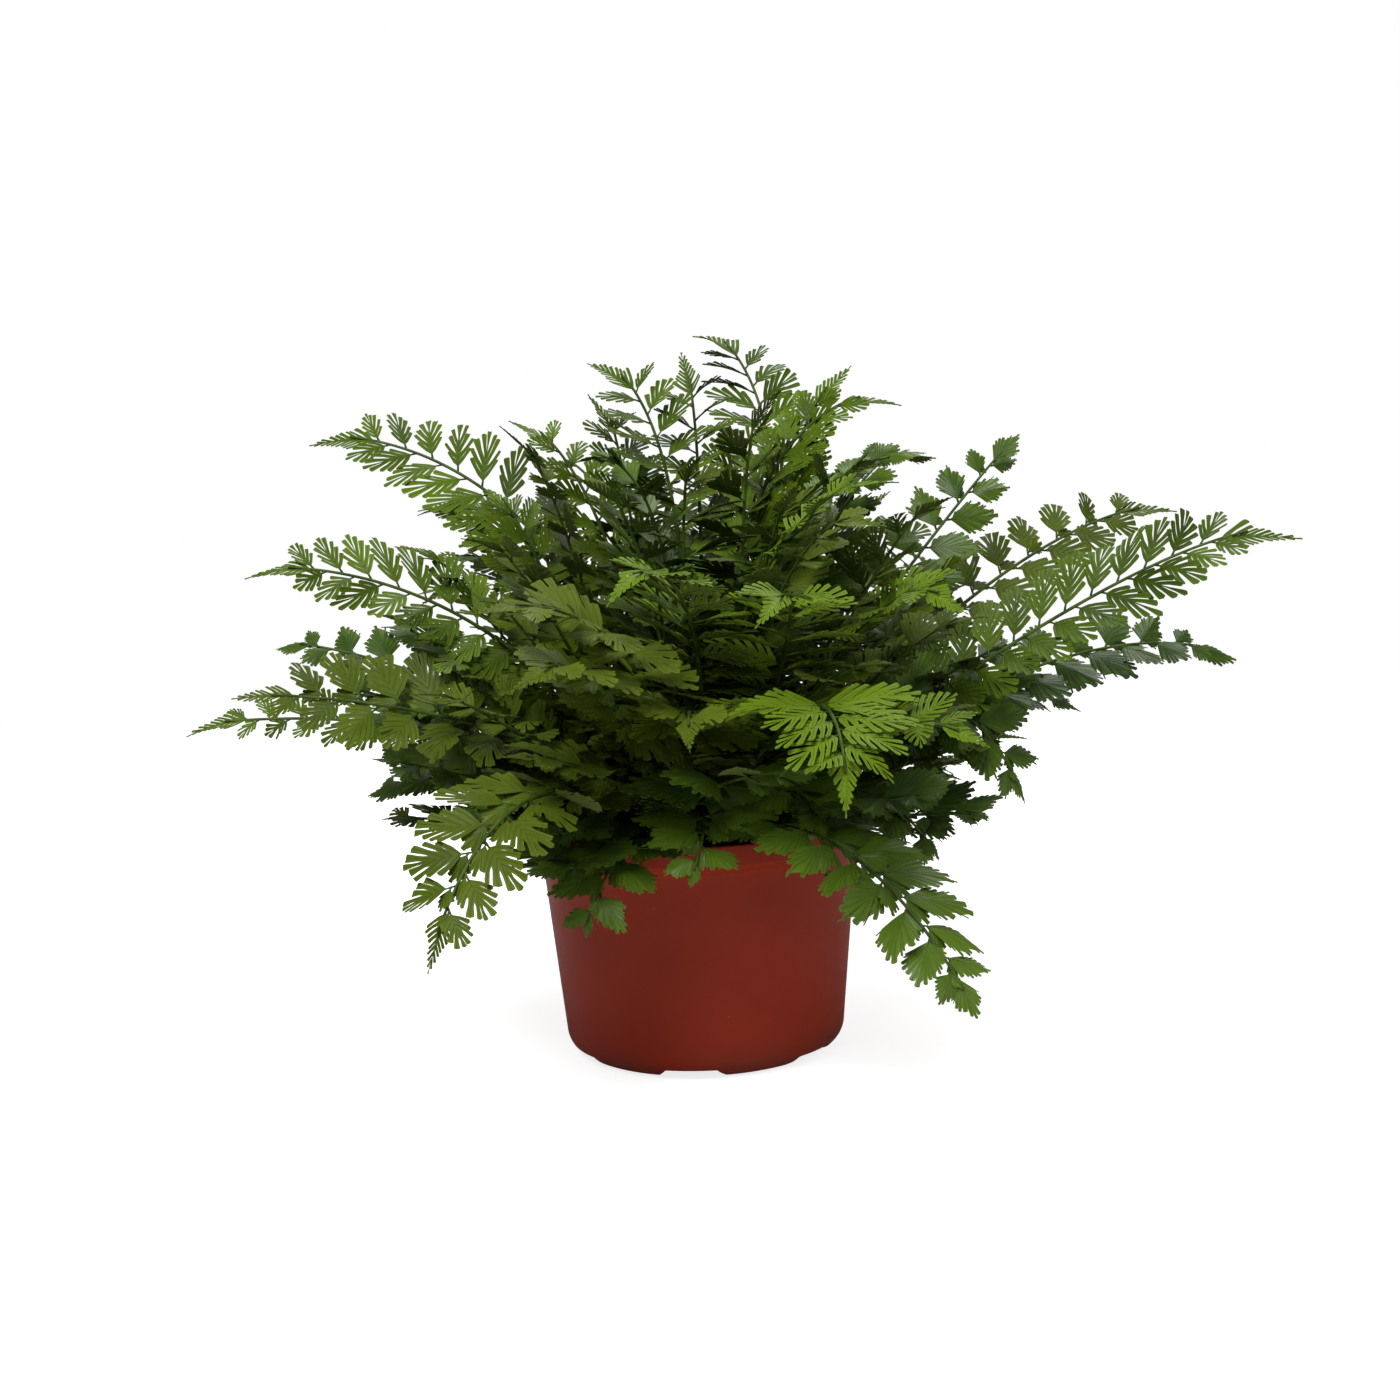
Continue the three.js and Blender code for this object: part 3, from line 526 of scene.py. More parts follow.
# %% Loose crumbs
def crumb_layout():
    """The 26 points on the surface of a 3 x 3 x 3 lattice, pushed out to a ball, and its 24 faces.
    The 27th point, number 13, is in the middle and is left out."""
    lattice = np.stack(np.meshgrid(*[[-1, 0, 1]] * 3, indexing="ij"), -1).reshape(-1, 3)
    number = np.arange(27).reshape(3, 3, 3)
    faces = []
    for axis in range(3):
        for side, flip in ((0, 1), (2, 0)):
            sheet = np.take(number, side, axis)
            quads = np.stack([sheet[:-1, :-1], sheet[1:, :-1], sheet[1:, 1:], sheet[:-1, 1:]], -1)
            quads = quads.reshape(-1, 4)
            faces.append(quads[:, ::-1] if flip ^ (axis == 1) else quads)
    faces = np.concatenate(faces)
    kept = np.delete(np.arange(27), 13)
    renumber = np.zeros(27, int)
    renumber[kept] = np.arange(26)
    return unit(lattice[kept].astype(float)), renumber[faces]


CRUMB_POINTS, CRUMB_FACES = crumb_layout()
print("one crumb:", len(CRUMB_POINTS), "points,", len(CRUMB_FACES), "faces")


def crumbs(spots, sizes, flatness, draw, **values):
    """Balls at the spots, dented by a random share at each point, stretched and turned about."""
    count = len(spots)
    dent = draw.uniform(0.72, 1.15, (count, 26, 1))
    stretch = np.stack([draw.uniform(0.7, 1.5, count), draw.uniform(0.6, 1.1, count),
                        np.full(count, flatness)], -1)
    ball = CRUMB_POINTS[None] * dent * (stretch * sizes[:, None])[:, None]
    turn = draw.uniform(0, 2 * np.pi, (count, 1))
    tip = draw.normal(0, 0.35, (count, 1))
    x, y, z = ball[..., 0], ball[..., 1], ball[..., 2]
    x, z = x * np.cos(tip) - z * np.sin(tip), x * np.sin(tip) + z * np.cos(tip)
    x, y = x * np.cos(turn) - y * np.sin(turn), x * np.sin(turn) + y * np.cos(turn)
    return copies(np.stack([x, y, z], -1) + spots[:, None], [CRUMB_FACES], **values)


def soil_height(radius):
    """Height of the mix before it is made uneven: two straight slopes up towards the crown."""
    heights = [SOIL_TOP + SOIL_MOUND, SOIL_TOP + SOIL_MOUND / 2, SOIL_TOP]
    return np.interp(radius, [pocket_top, SOIL_BEND_RADIUS, soil_edge], heights)


def soil_crumbs(count, low, high, flatness, seed):
    """Crumbs spread evenly by area over the ring of mix between the crown and the wall."""
    draw = np.random.default_rng(seed)
    radius = np.sqrt(draw.uniform((pocket_top + 1) ** 2, (soil_edge - 1.5) ** 2, count))
    spots = polar(draw.uniform(0, 360, count), radius, soil_height(radius))
    spots += (ripple(spots, **BIG_LUMPS) * LUMP_HEIGHT + 0.1)[:, None] * UP
    sizes = draw.uniform(low, high, count)
    return crumbs(spots, sizes, flatness, draw, shade=draw.uniform(0, 1, (count, 1)))


# %% [markdown]
# ### Moist peat
# Peat is nearly black when it is wet, rough, and full of paler bits of bark. Each crumb carries one
# random number, shade, and the palest crumbs turn to bark. Every colour here is drawn twice, as a low
# and a high tone that noise mixes, because nothing in a pot is one flat colour.

# %% Potting mix: material and piece
soil_shape = joined([
    turned(soil_profile, 200, uneven_soil, shade=0.35),
    soil_crumbs(900, 0.45, 1.1, 0.7, 5),
    soil_crumbs(170, 1.2, 2.3, 0.45, 6),
])
peat, tree, shader = new_material("peat_and_bark")
shade = reading(tree, "shade")
grains = mottled(tree, (0.010, 0.0065, 0.0045), (0.045, 0.028, 0.017), 420.0)
bark = mixed(tree, eased(tree, shade, 0.6, 1.0), grains["Color"], (0.085, 0.05, 0.027, 1.0))
peat_rough = sums(tree, "MULTIPLY_ADD", grains["Grain"], 0.3, 0.68)
wear(tree, shader, bark, peat_rough, grains["Grain"], 0.0006, 0.9)
make_piece("potting_mix_surface", soil_shape, [peat], "potting_mix", ["potting_mix"], crease=60)

# %% [markdown]
# ## The crown
# The fronds of a spleenwort rise from a short upright stem that is wrapped in brown papery scales.
# It is a low dome with several hundred narrow scales standing on it. One scale is a strip that
# narrows to a point, with its upper and lower sheet meeting at the margin, so it is closed and thin.


# %% A narrow closed strip, for scales
def strip_layout(rows):
    """Column, row and layer of each point of a strip three points wide that ends in one point."""
    column, row = np.meshgrid([-1, 0, 1], np.arange(rows), indexing="ij")
    upper = np.arange(3 * rows).reshape(3, rows)
    tip = 3 * rows
    middle = np.arange(rows) + tip + 1
    lower = upper.copy()
    lower[1] = middle
    faces = []
    for sheet, flip in ((upper, False), (lower, True)):
        quads = np.stack([sheet[:-1, :-1], sheet[:-1, 1:], sheet[1:, 1:], sheet[1:, :-1]], -1)
        quads = quads.reshape(-1, 4)
        ends = np.stack([sheet[:-1, -1], np.full(2, tip), sheet[1:, -1]], -1)
        faces.append((quads[:, ::-1], ends[:, ::-1]) if flip else (quads, ends))
    foot = np.array([[upper[0, 0], upper[1, 0], upper[2, 0], middle[0]]])
    quads = np.concatenate([faces[0][0], faces[1][0], foot])
    tris = np.concatenate([faces[0][1], faces[1][1]])
    columns = np.concatenate([column.ravel(), [0], np.zeros(rows)])
    shares = np.concatenate([row.ravel(), [rows], np.arange(rows)]) / rows
    layers = np.concatenate([(column == 0).ravel() * 1.0, [0], -np.ones(rows)])
    return columns, shares, layers, [quads, tris]


STRIP_COLUMN, STRIP_SHARE, STRIP_LAYER, STRIP_FACES = strip_layout(3)
SCALE_HALF_THICKNESS = 0.09
print("one scale:", len(STRIP_COLUMN), "points")


def scales(feet, ways, outs, lengths, widths, curls, **values):
    """Papery scales: each runs its length along its way, bends by its curl towards its out, is
    widest at a third of its length, and comes to a point."""
    across = unit(np.cross(outs, ways))
    fullness = np.sin(np.pi * (0.16 + 0.84 * STRIP_SHARE)) ** 0.8
    fullness = np.where(STRIP_SHARE == 1, 0, fullness)
    along = STRIP_SHARE * lengths[:, None]
    side = STRIP_COLUMN * fullness * widths[:, None] / 2
    lift = curls[:, None] * STRIP_SHARE**2 * lengths[:, None] + STRIP_LAYER * SCALE_HALF_THICKNESS
    points = (feet[:, None] + ways[:, None] * along[..., None] + across[:, None] * side[..., None]
              + outs[:, None] * lift[..., None])
    return copies(points, STRIP_FACES, **values)


# %% The crown's shape
def crown_height(radius):
    """A dome: highest on the axis, falling with the square of the distance from it."""
    return SOIL_TOP + SOIL_MOUND + CROWN_RISE * (1 - (radius / CROWN_RADIUS) ** 2)


dome = np.linspace(1, 0.02, 22)[:, None] * CROWN_RADIUS
crown_foot = pocket_floor + TOUCH_GAP
crown_profile = np.concatenate([
    [[0, crown_foot], [CROWN_RADIUS * CROWN_TAPER, crown_foot]],
    np.concatenate([dome, crown_height(dome)], 1),
    [[0, crown_height(0)]],
])


def knobbly(grid):
    """Knobs on the dome, where old stalks have broken off."""
    on_dome = grid[..., 2] > SOIL_TOP + SOIL_MOUND - 0.1
    knobs = ripple(grid, 6.0, 8) * 0.5 + ripple(grid, 2.6, 9) * 0.3 - 0.3
    return grid + (on_dome * knobs)[..., None] * UP


def crown_scales(count, seed):
    """Scales spread evenly over the dome, standing up and leaning away from its middle."""
    draw = np.random.default_rng(seed)
    radius = CROWN_RADIUS * np.sqrt(draw.uniform(0.01, 1.0, count))
    azimuth = draw.uniform(0, 360, count)
    feet = polar(azimuth, radius, crown_height(radius) - 0.8)
    outwards = polar(azimuth, 1, 0)
    steepness = (2 * CROWN_RISE * radius / CROWN_RADIUS**2)[:, None]
    normal = unit(UP + outwards * steepness)
    ways = unit(normal * 0.9 + outwards * 0.55 + draw.normal(0, 0.35, (count, 3)))
    outs = unit(normal - ways * dot(normal, ways) + draw.normal(0, 0.1, (count, 3)))
    outs = unit(outs - ways * dot(outs, ways))
    return scales(feet, ways, outs, draw.uniform(3.2, 7.5, count), draw.uniform(0.7, 1.5, count),
                  draw.uniform(-0.35, 0.15, count), shade=draw.uniform(0, 1, (count, 1)))


# %% [markdown]
# ### Papery scales
# A dry scale is thin, brown and a little shiny along its fibres. It has the crumbs' trick of one
# random number each, so that pale and dark scales lie side by side, as they do when some are older.

# %% Crown: material and piece
papery, tree, shader = new_material("papery_scale")
shade = reading(tree, "shade")
fibres = mottled(tree, (0.020, 0.011, 0.006), (0.062, 0.034, 0.018), 240.0)
husk = mixed(tree, sums(tree, "MULTIPLY", shade, 0.75), fibres["Color"], (0.11, 0.062, 0.030, 1.0))
wear(tree, shader, husk, sums(tree, "MULTIPLY_ADD", fibres["Grain"], 0.3, 0.5), fibres["Grain"], 0.0002)
crown_shape = joined([turned(crown_profile, 96, knobbly, shade=0.1), crown_scales(620, 12)])
make_piece("crown_scales", crown_shape, [papery], "crown", ["crown"], crease=60)

# %% [markdown]
# ## Where the fronds are
# The imported solid of each frond is plain: a thin stalk and flat rhombic leaflets. Its line follows
# three points: the foot on the crown, the shoulder that it bends over, and the tip. Repeating those
# three points for each frond gives the same smooth line here, to hang fine leaf blades on.

# %% The frond table
# azimuth, out, up: of the tip, in degrees, mm past the rim and mm above it. sweep, shoulder_out,
# shoulder_up: of the shoulder. roll: how far the blade leans. leaflet: the longest one, in mm.
# the last column: how young and bright the leaves are, 0 for old dark leaves, 1 for fresh bright ones. It
# is
# also painted light: higher on the front fronds that their own leaves shade, lower on the outer fronds.
FIELDS = ("name kind azimuth out up sweep shoulder_out shoulder_up roll leaflet youth").split()
FROND_TABLE = [
    ("front_bright", "fine", 286, 96, 29, 8, 54, 88, 0, 40, 1.1),
    ("hang_right", "broad", 301, 97, -38, -7, 55, 32, 0, 30, 0.75),
    ("hang_left", "lobed", 235, 86, -22, 6, 60, 58, 10, 32, 0.6),
    ("olive_left", "lobed", 243, 80, 89, 23, 50, 95, 25, 34, 0.6),
    ("front_left", "lobed", 250, 89, 69, 7, 56, 85, 15, 30, 0.65),
    ("bright_left", "fine", 259, 67, 93, 17, 30, 114, 15, 28, 0.9),
    ("front_low", "broad", 268, 34, -4, 8, 18, 26, 0, 28, 1.0),
    ("front_low_left", "broad", 246, 32, -22, 7, 16, 20, 0, 26, 0.7),
    ("front_low_right", "broad", 297, 27, 6, 2, 9, 32, 0, 28, 1.0),
    ("arch_left", "fine", 279, 72, 85, 16, 44, 105, 10, 30, 1.0),
    ("arch_right", "fine", 311, 66, 79, 4, 30, 102, -20, 28, 1.1),
    ("bright_low_right", "fine", 309, 81, 39, -8, 51, 61, -20, 28, 1.0),
    ("front_mid", "lobed", 269, 65, 46, 1, 28, 69, 0, 28, 0.7),
    ("olive_small", "lobed", 299, 60, 108, -9, 25, 119, -10, 26, 0.7),
    ("bright_right", "fine", 313, 36, 119, -27, 2, 114, -25, 28, 1.1),
    ("hang_right_back", "broad", 322, 38, -7, -5, 13, 34, 0, 28, 0.3),
    ("left_low", "lobed", 202, 98, 56, 26, 14, 49, 40, 30, 0.45),
    ("left_dark", "fine", 188, 110, 40, 3, 12, 46, 30, 20, 0.4),
    ("left_mid", "broad", 170, 86, 60, -1, 18, 52, 25, 24, 0.2),
    ("left_spray", "fine", 190, 87, 92, 4, 4, 91, 35, 30, 0.4),
    ("upper_left", "fine", 159, 82, 129, -19, -5, 128, 30, 32, 0.3),
    ("left_back", "fine", 139, 70, 99, -13, 15, 109, 15, 26, 0.3),
    ("left_back_low", "fine", 151, 42, 83, -13, 0, 96, 10, 24, 0.3),
    ("left_under", "broad", 175, 54, 7, 5, 0, 30, 10, 24, 0.15),
    ("right_long", "fine", 349, 142, 92, 1, 104, 102, -30, 34, 0.2),
    ("right_dark", "broad", 7, 131, 41, 1, 76, 67, -25, 26, 0.05),
    ("right_bright", "lobed", 23, 134, 90, 2, 71, 94, -30, 26, 0.45),
    ("right_up", "broad", 27, 74, 119, -2, 37, 91, -40, 24, 0.35),
    ("right_hang", "broad", 342, 54, 5, -2, 27, 76, -30, 28, 0.35),
    ("right_small", "broad", 13, 80, 24, 1, 34, 46, -15, 24, 0.2),
    ("top_left", "fine", 136, -17, 154, -69, -44, 143, 20, 30, 0.35),
    ("top", "fine", 86, 50, 161, -38, 20, 133, -15, 30, 0.25),
    ("top_right", "fine", 15, 17, 138, 26, -45, 141, -20, 26, 0.4),
    ("olive_right", "broad", 343, 26, 119, -21, -28, 131, -5, 28, 0.6),
    ("olive_top", "broad", 208, -18, 124, 69, -40, 132, 5, 28, 0.5),
    ("upper_inner_left", "fine", 153, 6, 134, -7, -30, 125, 15, 26, 0.5),
    ("mid_left", "fine", 157, 42, 105, 4, -8, 109, 20, 26, 0.4),
    ("crest_left", "fine", 90, -15, 154, -24, -38, 143, 10, 26, 0.25),
    ("crest_right", "fine", 27, 6, 147, -6, -24, 140, -15, 26, 0.6),
    ("crest_front", "fine", 331, 13, 121, 5, -16, 122, -15, 26, 0.75),
    ("inner_right", "broad", 7, 22, 120, -2, -8, 126, -20, 26, 0.35),
    ("back_low_right", "broad", 40, 95, 10, 6, 50, 50, 5, 28, 0.25),
    ("back_right", "lobed", 55, 115, 62, -5, 62, 84, -5, 30, 0.45),
    ("back_mid_right", "fine", 75, 118, 38, 5, 62, 66, 5, 32, 0.5),
    ("back_mid", "lobed", 95, 112, 72, -6, 55, 98, 0, 30, 0.4),
    ("back_mid_left", "broad", 112, 120, 30, 6, 64, 60, 5, 28, 0.3),
    ("back_left", "fine", 128, 108, 58, -5, 58, 82, -5, 32, 0.6),
    ("back_low_left", "broad", 150, 88, 12, 5, 48, 46, 5, 28, 0.25),
    ("back_hang_right", "broad", 58, 78, -28, 5, 48, 36, 0, 28, 0.3),
    ("back_hang", "broad", 86, 84, -25, 4, 50, 40, 0, 30, 0.35),
    ("back_hang_left", "lobed", 122, 80, -30, 4, 48, 38, 0, 28, 0.45),
    ("back_high_right", "fine", 66, 64, 108, 8, 10, 122, -5, 30, 0.6),
    ("back_high_left", "lobed", 115, 62, 112, -8, 8, 122, 5, 28, 0.45),
]
FRONDS = [dict(zip(FIELDS, row)) for row in FROND_TABLE]
for kind in ("fine", "lobed", "broad"):
    print(kind, "fronds:", sum(f["kind"] == kind for f in FRONDS))

# %% [markdown]
# ### The old fronds inside
# Look into a bushy fern and there is no gap: short old fronds fill its heart. Nobody can say where
# each of them is, so a rule places them. Turning each one by the golden angle from the one before it
# is how plants themselves spread leaves, and no two of them then stand over each other.

# %% Rows for the inner fronds
INNER_COUNT, INNER_SEED = 64, 77
GOLDEN_ANGLE = 137.5
DOME_TOP, DOME_SIDE = 158.0, 100.0  # distances of the dome from the middle of the mix, in mm
HIGHEST, LOWEST = 0.98, 0.12  # how high on the dome, where 1 is the top
FINE_UNTIL = 0.45  # share of the fronds that have fine or lobed leaves. The rest are broad or lobed
GAP_AZIMUTH, GAP_HALF_ANGLE, GAP_TOP = 268, 20, 0.75
INNER_LEAFLET = 31
INNER_BEND = (16, 2)  # how far the shoulder is inwards from the tip, and below it


def inner_fronds(count, seed):
    """Short old fronds that fill the heart of the plant. Each is turned by the golden angle from the
    one before it and is lower, so that their tips spread evenly over a dome. The low ones leave a gap
    at the front, where the coiled young fronds show."""
    draw = np.random.default_rng(seed)
    rows = []
    for i in range(count):
        age = i / (count - 1)
        azimuth = GOLDEN_ANGLE * i % 360
        rise = between(HIGHEST, LOWEST, age)
        reach = between(DOME_SIDE, DOME_TOP, rise) + draw.normal(0, 5)
        out = reach * np.sqrt(1 - rise**2) - RIM_RADIUS
        up = reach * rise + SOIL_TOP - POT_HEIGHT
        kinds = ("lobed", "fine") if age < FINE_UNTIL else ("broad", "lobed")
        sweep, roll = draw.normal(0, 12), draw.normal(0, 14)
        row = (f"inner_{i}", kinds[i % 2], azimuth, out, up, sweep, out - INNER_BEND[0],
               up - INNER_BEND[1], roll, INNER_LEAFLET, draw.uniform(0.05, 0.5))
        if abs(azimuth - GAP_AZIMUTH) > GAP_HALF_ANGLE or rise > GAP_TOP:
            rows.append(row)
    return [dict(zip(FIELDS, row)) for row in rows]


INNER_FRONDS = inner_fronds(INNER_COUNT, INNER_SEED)
print("fronds:", len(FRONDS), "and inside the plant:", len(INNER_FRONDS))

# %% [markdown]
# ### Stalks
# A stalk leaves the crown, bends over its shoulder and hangs at its tip. A curve with one control
# point does just that, and it needs no curve object: the same formula gives a point, a direction and
# a sideways direction at any distance along it, which is what leaflets need.

# %% Sizes of the stalks, and where they stand
STALK_THICKNESS, TIP_THICKNESS = 2.1, 0.9
PITCH = {"fine": 11.0, "lobed": 12.0, "broad": 12.0}  # between one pair of leaflets and the next
BARE = {"fine": 0.26, "lobed": 0.28, "broad": 0.30}  # share of the stalk below the first packed pair
END_SHARE = 0.87  # share of the leafy part that has pairs. The end blade takes the rest
FOOT_LIFT = 1.7
FOOT_RINGS = [(0.38, 0.22), (0.63, 0.34), (0.87, 0.44)]  # radius, as a share of the crown's, and portion
INNER_RING = 0.75
LINE_STEPS = 200


# %% The stalks' feet
def shoulder_turn(f):
    """Azimuth of a frond's shoulder, in degrees from 0 up."""
    return (f["azimuth"] + f["sweep"] + 360) % 360


def on_crown(azimuth, share):
    """A point just above the dome, at a share of its radius."""
    return polar(azimuth, CROWN_RADIUS * share, crown_height(CROWN_RADIUS * share) + FOOT_LIFT)


def stalk_feet(fronds):
    """Feet stand evenly round three rings on the crown, in the order of their shoulders. The steepest
    stalks take the inner ring, and each ring is turned to suit its own stalks."""
    def steepness(f):
        """Height of the shoulder over its distance from the axis."""
        return (f["shoulder_up"] + POT_HEIGHT - SOIL_TOP) / (f["shoulder_out"] + RIM_RADIUS)

    waiting = sorted(fronds, key=steepness, reverse=True)
    feet = {}
    for share, portion in FOOT_RINGS:
        count = int(np.ceil(portion * len(fronds)))
        ring, waiting = sorted(waiting[:count], key=shoulder_turn), waiting[count:]
        spacing = 360 / len(ring)
        shift = np.mean([shoulder_turn(f) - i * spacing for i, f in enumerate(ring)])
        feet.update({f["name"]: on_crown(shift + i * spacing, share) for i, f in enumerate(ring)})
    return feet


FEET = stalk_feet(FRONDS)
print("feet on the crown:", len(FEET))


# %% The stalks' lines
class Stalk:
    """A frond's line, read by distance from its foot: it is the curve that leaves the foot towards
    the shoulder and arrives at the tip from the shoulder."""

    def __init__(self, f):
        self.f = f
        self.foot = FEET.get(f["name"], on_crown(f["azimuth"] + f["sweep"], INNER_RING))
        self.shoulder = polar(f["azimuth"] + f["sweep"], RIM_RADIUS + f["shoulder_out"],
                              POT_HEIGHT + f["shoulder_up"])
        self.tip = polar(f["azimuth"], RIM_RADIUS + f["out"], POT_HEIGHT + f["up"])
        self.steps = np.linspace(0, 1, LINE_STEPS + 1)
        chords = np.linalg.norm(np.diff(self.curve(self.steps), axis=0), axis=1)
        self.lengths = np.concatenate([[0], np.cumsum(chords)])
        self.length = self.lengths[-1]
        self.blade = self.length * (1 - BARE[f["kind"]])
        self.start = self.length * BARE[f["kind"]]
        self.pairs = max(2, int(self.blade * END_SHARE / PITCH[f["kind"]]))
        self.pitch = self.blade * END_SHARE / self.pairs

    def curve(self, t):
        """Foot, shoulder and tip, weighed by (1 - t) squared, 2 t (1 - t) and t squared."""
        t = np.asarray(t, float)[..., None]
        return (1 - t) ** 2 * self.foot + 2 * t * (1 - t) * self.shoulder + t**2 * self.tip

    def frame(self, distance):
        """The point at a distance, and its along, side (left) and face (up out of the blade)."""
        t = np.interp(distance, self.lengths, self.steps)
        at = self.curve(t)
        slope = t[..., None]
        along = unit((1 - slope) * (self.shoulder - self.foot) + slope * (self.tip - self.shoulder))
        level = np.cross(UP, polar(self.f["azimuth"], 1, 0))
        face = unit(np.cross(along, level))
        roll = np.radians(-self.f["roll"])
        face = face * np.cos(roll) + np.cross(along, face) * np.sin(roll)
        return at, along, unit(np.cross(face, along)), face


def outline(q, taper=1.8):
    """Length of the leaflets along the blade, from the first pair at 0 to the tip at 1. The packed
    leaflets have a taper of 1.8. A higher one keeps them long for more of the way."""
    return (1 - q**taper) * (0.8 + 0.5 * q)


def thickness_at(share):
    """A stalk's thickness, which falls evenly from its foot to its tip."""
    return between(STALK_THICKNESS, TIP_THICKNESS, share)


# %% [markdown]
# ### Leaflets on their stalks
# Leaflets stand in pairs, one a little ahead of the other, at a steep angle low on the stalk and a
# slanting one near the tip. A packed leaflet may be raised or lowered to keep clear of its
# neighbours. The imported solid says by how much: of all the tips that a leaflet could have, one is a
# corner of that solid. A real leaflet is as long as its place on the frond makes it, and the lowest
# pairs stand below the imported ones.

# %% Where each leaflet stands
LIFTS = np.array([10, 26, -6, 42, -22, 58, -38.0])  # degrees that a packed leaflet may be raised by
SIZES = np.array([1, 0.82, 0.66, 0.5, 0.36])  # shares of its length that it may have been cut to
LIFT_LIMITS = (-22, 34)  # a leaf that is raised further than this looks torn off its frond
TIP_MATCH = 0.5  # mm within which a tip and a corner are the same point
SKEW = 0.4  # how far the right leaflet is ahead of the left one, as a share of the pitch
LOWEST_PAIR = 0.13  # share of the stalk below which no leaflet stands
FIRST_ANGLE, ANGLE_FALL = 78, 34  # degrees between leaflet and stalk: at the first pair, less at the tip
REAL_TAPER = 2.6
REAL_LENGTH = {"fine": 0.92, "lobed": 0.92, "broad": 0.98}  # real leaflets to packed ones
CROWDING = {"fine": 1.15, "lobed": 1.0, "broad": 1.0}  # real pairs of leaflets to each packed one
CROWDED = {"front_bright": 1.5, "bright_left": 1.35, "arch_left": 1.35, "arch_right": 1.35, "top": 1.4,
           "crest_left": 1.4, "crest_right": 1.4, "crest_front": 1.4, "top_left": 1.4, "top_right": 1.4}
LOWER_SHRINK = 0.88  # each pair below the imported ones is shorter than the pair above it


def leaflets_of(stalk):
    """Every leaflet of a frond: its foot, ray (direction), across (forward side), upper side, length
    and hand (1 left, -1 right), where it is on the leafy part (q) and on the stalk (share), and
    whether its packed leaflet was found."""
    f = stalk.f
    corners = np.zeros((1, 3))
    if f in FRONDS:
        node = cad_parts["frond_" + f["name"]].data
        corners = np.zeros(len(node.vertices) * 3)
        node.vertices.foreach_get("co", corners)
        corners = np.unique(corners.reshape(-1, 3).round(6) / MM, axis=0)
    crowding = CROWDED.get(f["name"], CROWDING[f["kind"]])
    pitch, pairs = stalk.pitch / crowding, int(stalk.pairs * crowding)
    lower = int((stalk.start - LOWEST_PAIR * stalk.length) / pitch)
    index = np.tile(np.arange(-lower, pairs), 2)
    hand = np.repeat([1.0, -1.0], pairs + lower)
    distance = stalk.start + pitch * (index + 0.5) + (hand < 0) * pitch * SKEW
    q = np.maximum(distance - stalk.start, 0) / stalk.blade
    at, along, side, face = stalk.frame(distance)
    hands = hand[:, None]
    foot = at + side * hands * thickness_at(distance / stalk.length)[:, None] / 2
    angle = np.radians(FIRST_ANGLE - ANGLE_FALL * q)[:, None, None]
    length = outline(q) * f["leaflet"]
    real_length = outline(q, REAL_TAPER) * f["leaflet"] * REAL_LENGTH[f["kind"]]
    real_length = real_length * LOWER_SHRINK ** np.maximum(-index, 0)

    def rays(lift):
        """Directions of the leaflets when each is raised by its row of lifts, in degrees."""
        lift = np.radians(lift)[..., None]
        out = (side * hands)[:, None] * np.cos(lift) + face[:, None] * np.sin(lift)
        return out * np.sin(angle) + along[:, None] * np.cos(angle)

    reaches = (length[:, None] * SIZES)[:, None, :, None]
    tips = foot[:, None, None] + rays(LIFTS[None])[:, :, None] * reaches
    gap = np.linalg.norm(tips[..., None, :] - corners, axis=-1).min(-1).min(-1)
    found = gap.min(1) < TIP_MATCH
    lift = np.where(found, np.clip(LIFTS[gap.argmin(1)], *LIFT_LIMITS), LIFTS[0])
    ray = rays(lift[:, None])[:, 0]
    across = unit(along - ray * dot(along, ray))
    return {
        "foot": foot, "ray": ray, "across": across, "upper": -hands * np.cross(ray, across),
        "length": real_length, "hand": hand, "q": q, "share": distance / stalk.length, "found": found,
    }


stalks = [Stalk(f) for f in FRONDS]
inner_stalks = [Stalk(f) for f in INNER_FRONDS]
LEAFLETS = {s.f["name"]: leaflets_of(s) for s in stalks + inner_stalks}
print("leaflets:", sum(len(x["length"]) for x in LEAFLETS.values()),
      "of which packed:", sum(x["found"].sum() for x in LEAFLETS.values()))

# %% [markdown]
# ## A leaf blade cut into fingers
# A spleenwort's blade is a fan: veins leave its midrib at a slant, and each one runs into a finger, a
# lobe or a tooth. So one layout serves all of them. Three columns of points run along each finger, its
# two margins and its vein. Up to the web the fingers share one sheet, and past it each is on its own.
# How deep the web goes is all that tells a finely cut frond from a broad toothed one.


# %% Layout of a blade
def blade_layout(fingers, web_rows, rows):
    """Which place each point has in the table of fingers, columns and rows, its layer (1 above, -1
    below, 0 at the margin, where the two sheets meet), and the faces of the upper and lower sheet. The
    first row lies on the midrib, and the two halves of the blade share it."""
    finger, column, row = np.meshgrid(
        np.arange(fingers), [-1, 0, 1], np.arange(rows), indexing="ij")
    number = np.arange(finger.size).reshape(finger.shape)
    shared = number.copy()
    shared[:, :, 0] = np.minimum(number[:, :, 0], number[::-1, ::-1, 0])
    margin = ((column != 0) & (row >= web_rows)) | (row == rows - 1)
    margin[0, 0] = margin[-1, -1] = True
    blades = np.stack(
        [shared[:, :-1, :-1], shared[:, :-1, 1:], shared[:, 1:, 1:], shared[:, 1:, :-1]], -1)
    low, high = slice(0, web_rows), slice(1, web_rows + 1)
    webs = np.stack(
        [shared[:-1, 2, low], shared[:-1, 2, high], shared[1:, 0, high], shared[1:, 0, low]], -1)
    upper = np.concatenate([blades.reshape(-1, 4), webs.reshape(-1, 4)])
    used = np.unique(upper)
    inner = used[~margin.ravel()[used]]
    place = np.zeros(finger.size, int)
    place[used] = np.arange(len(used))
    below = place.copy()
    below[inner] = len(used) + np.arange(len(inner))
    source = np.concatenate([used, inner])
    layer = np.concatenate([np.where(margin.ravel()[used], 0, 1), -np.ones(len(inner))])
    return source, layer, place[upper], below[upper][:, ::-1]


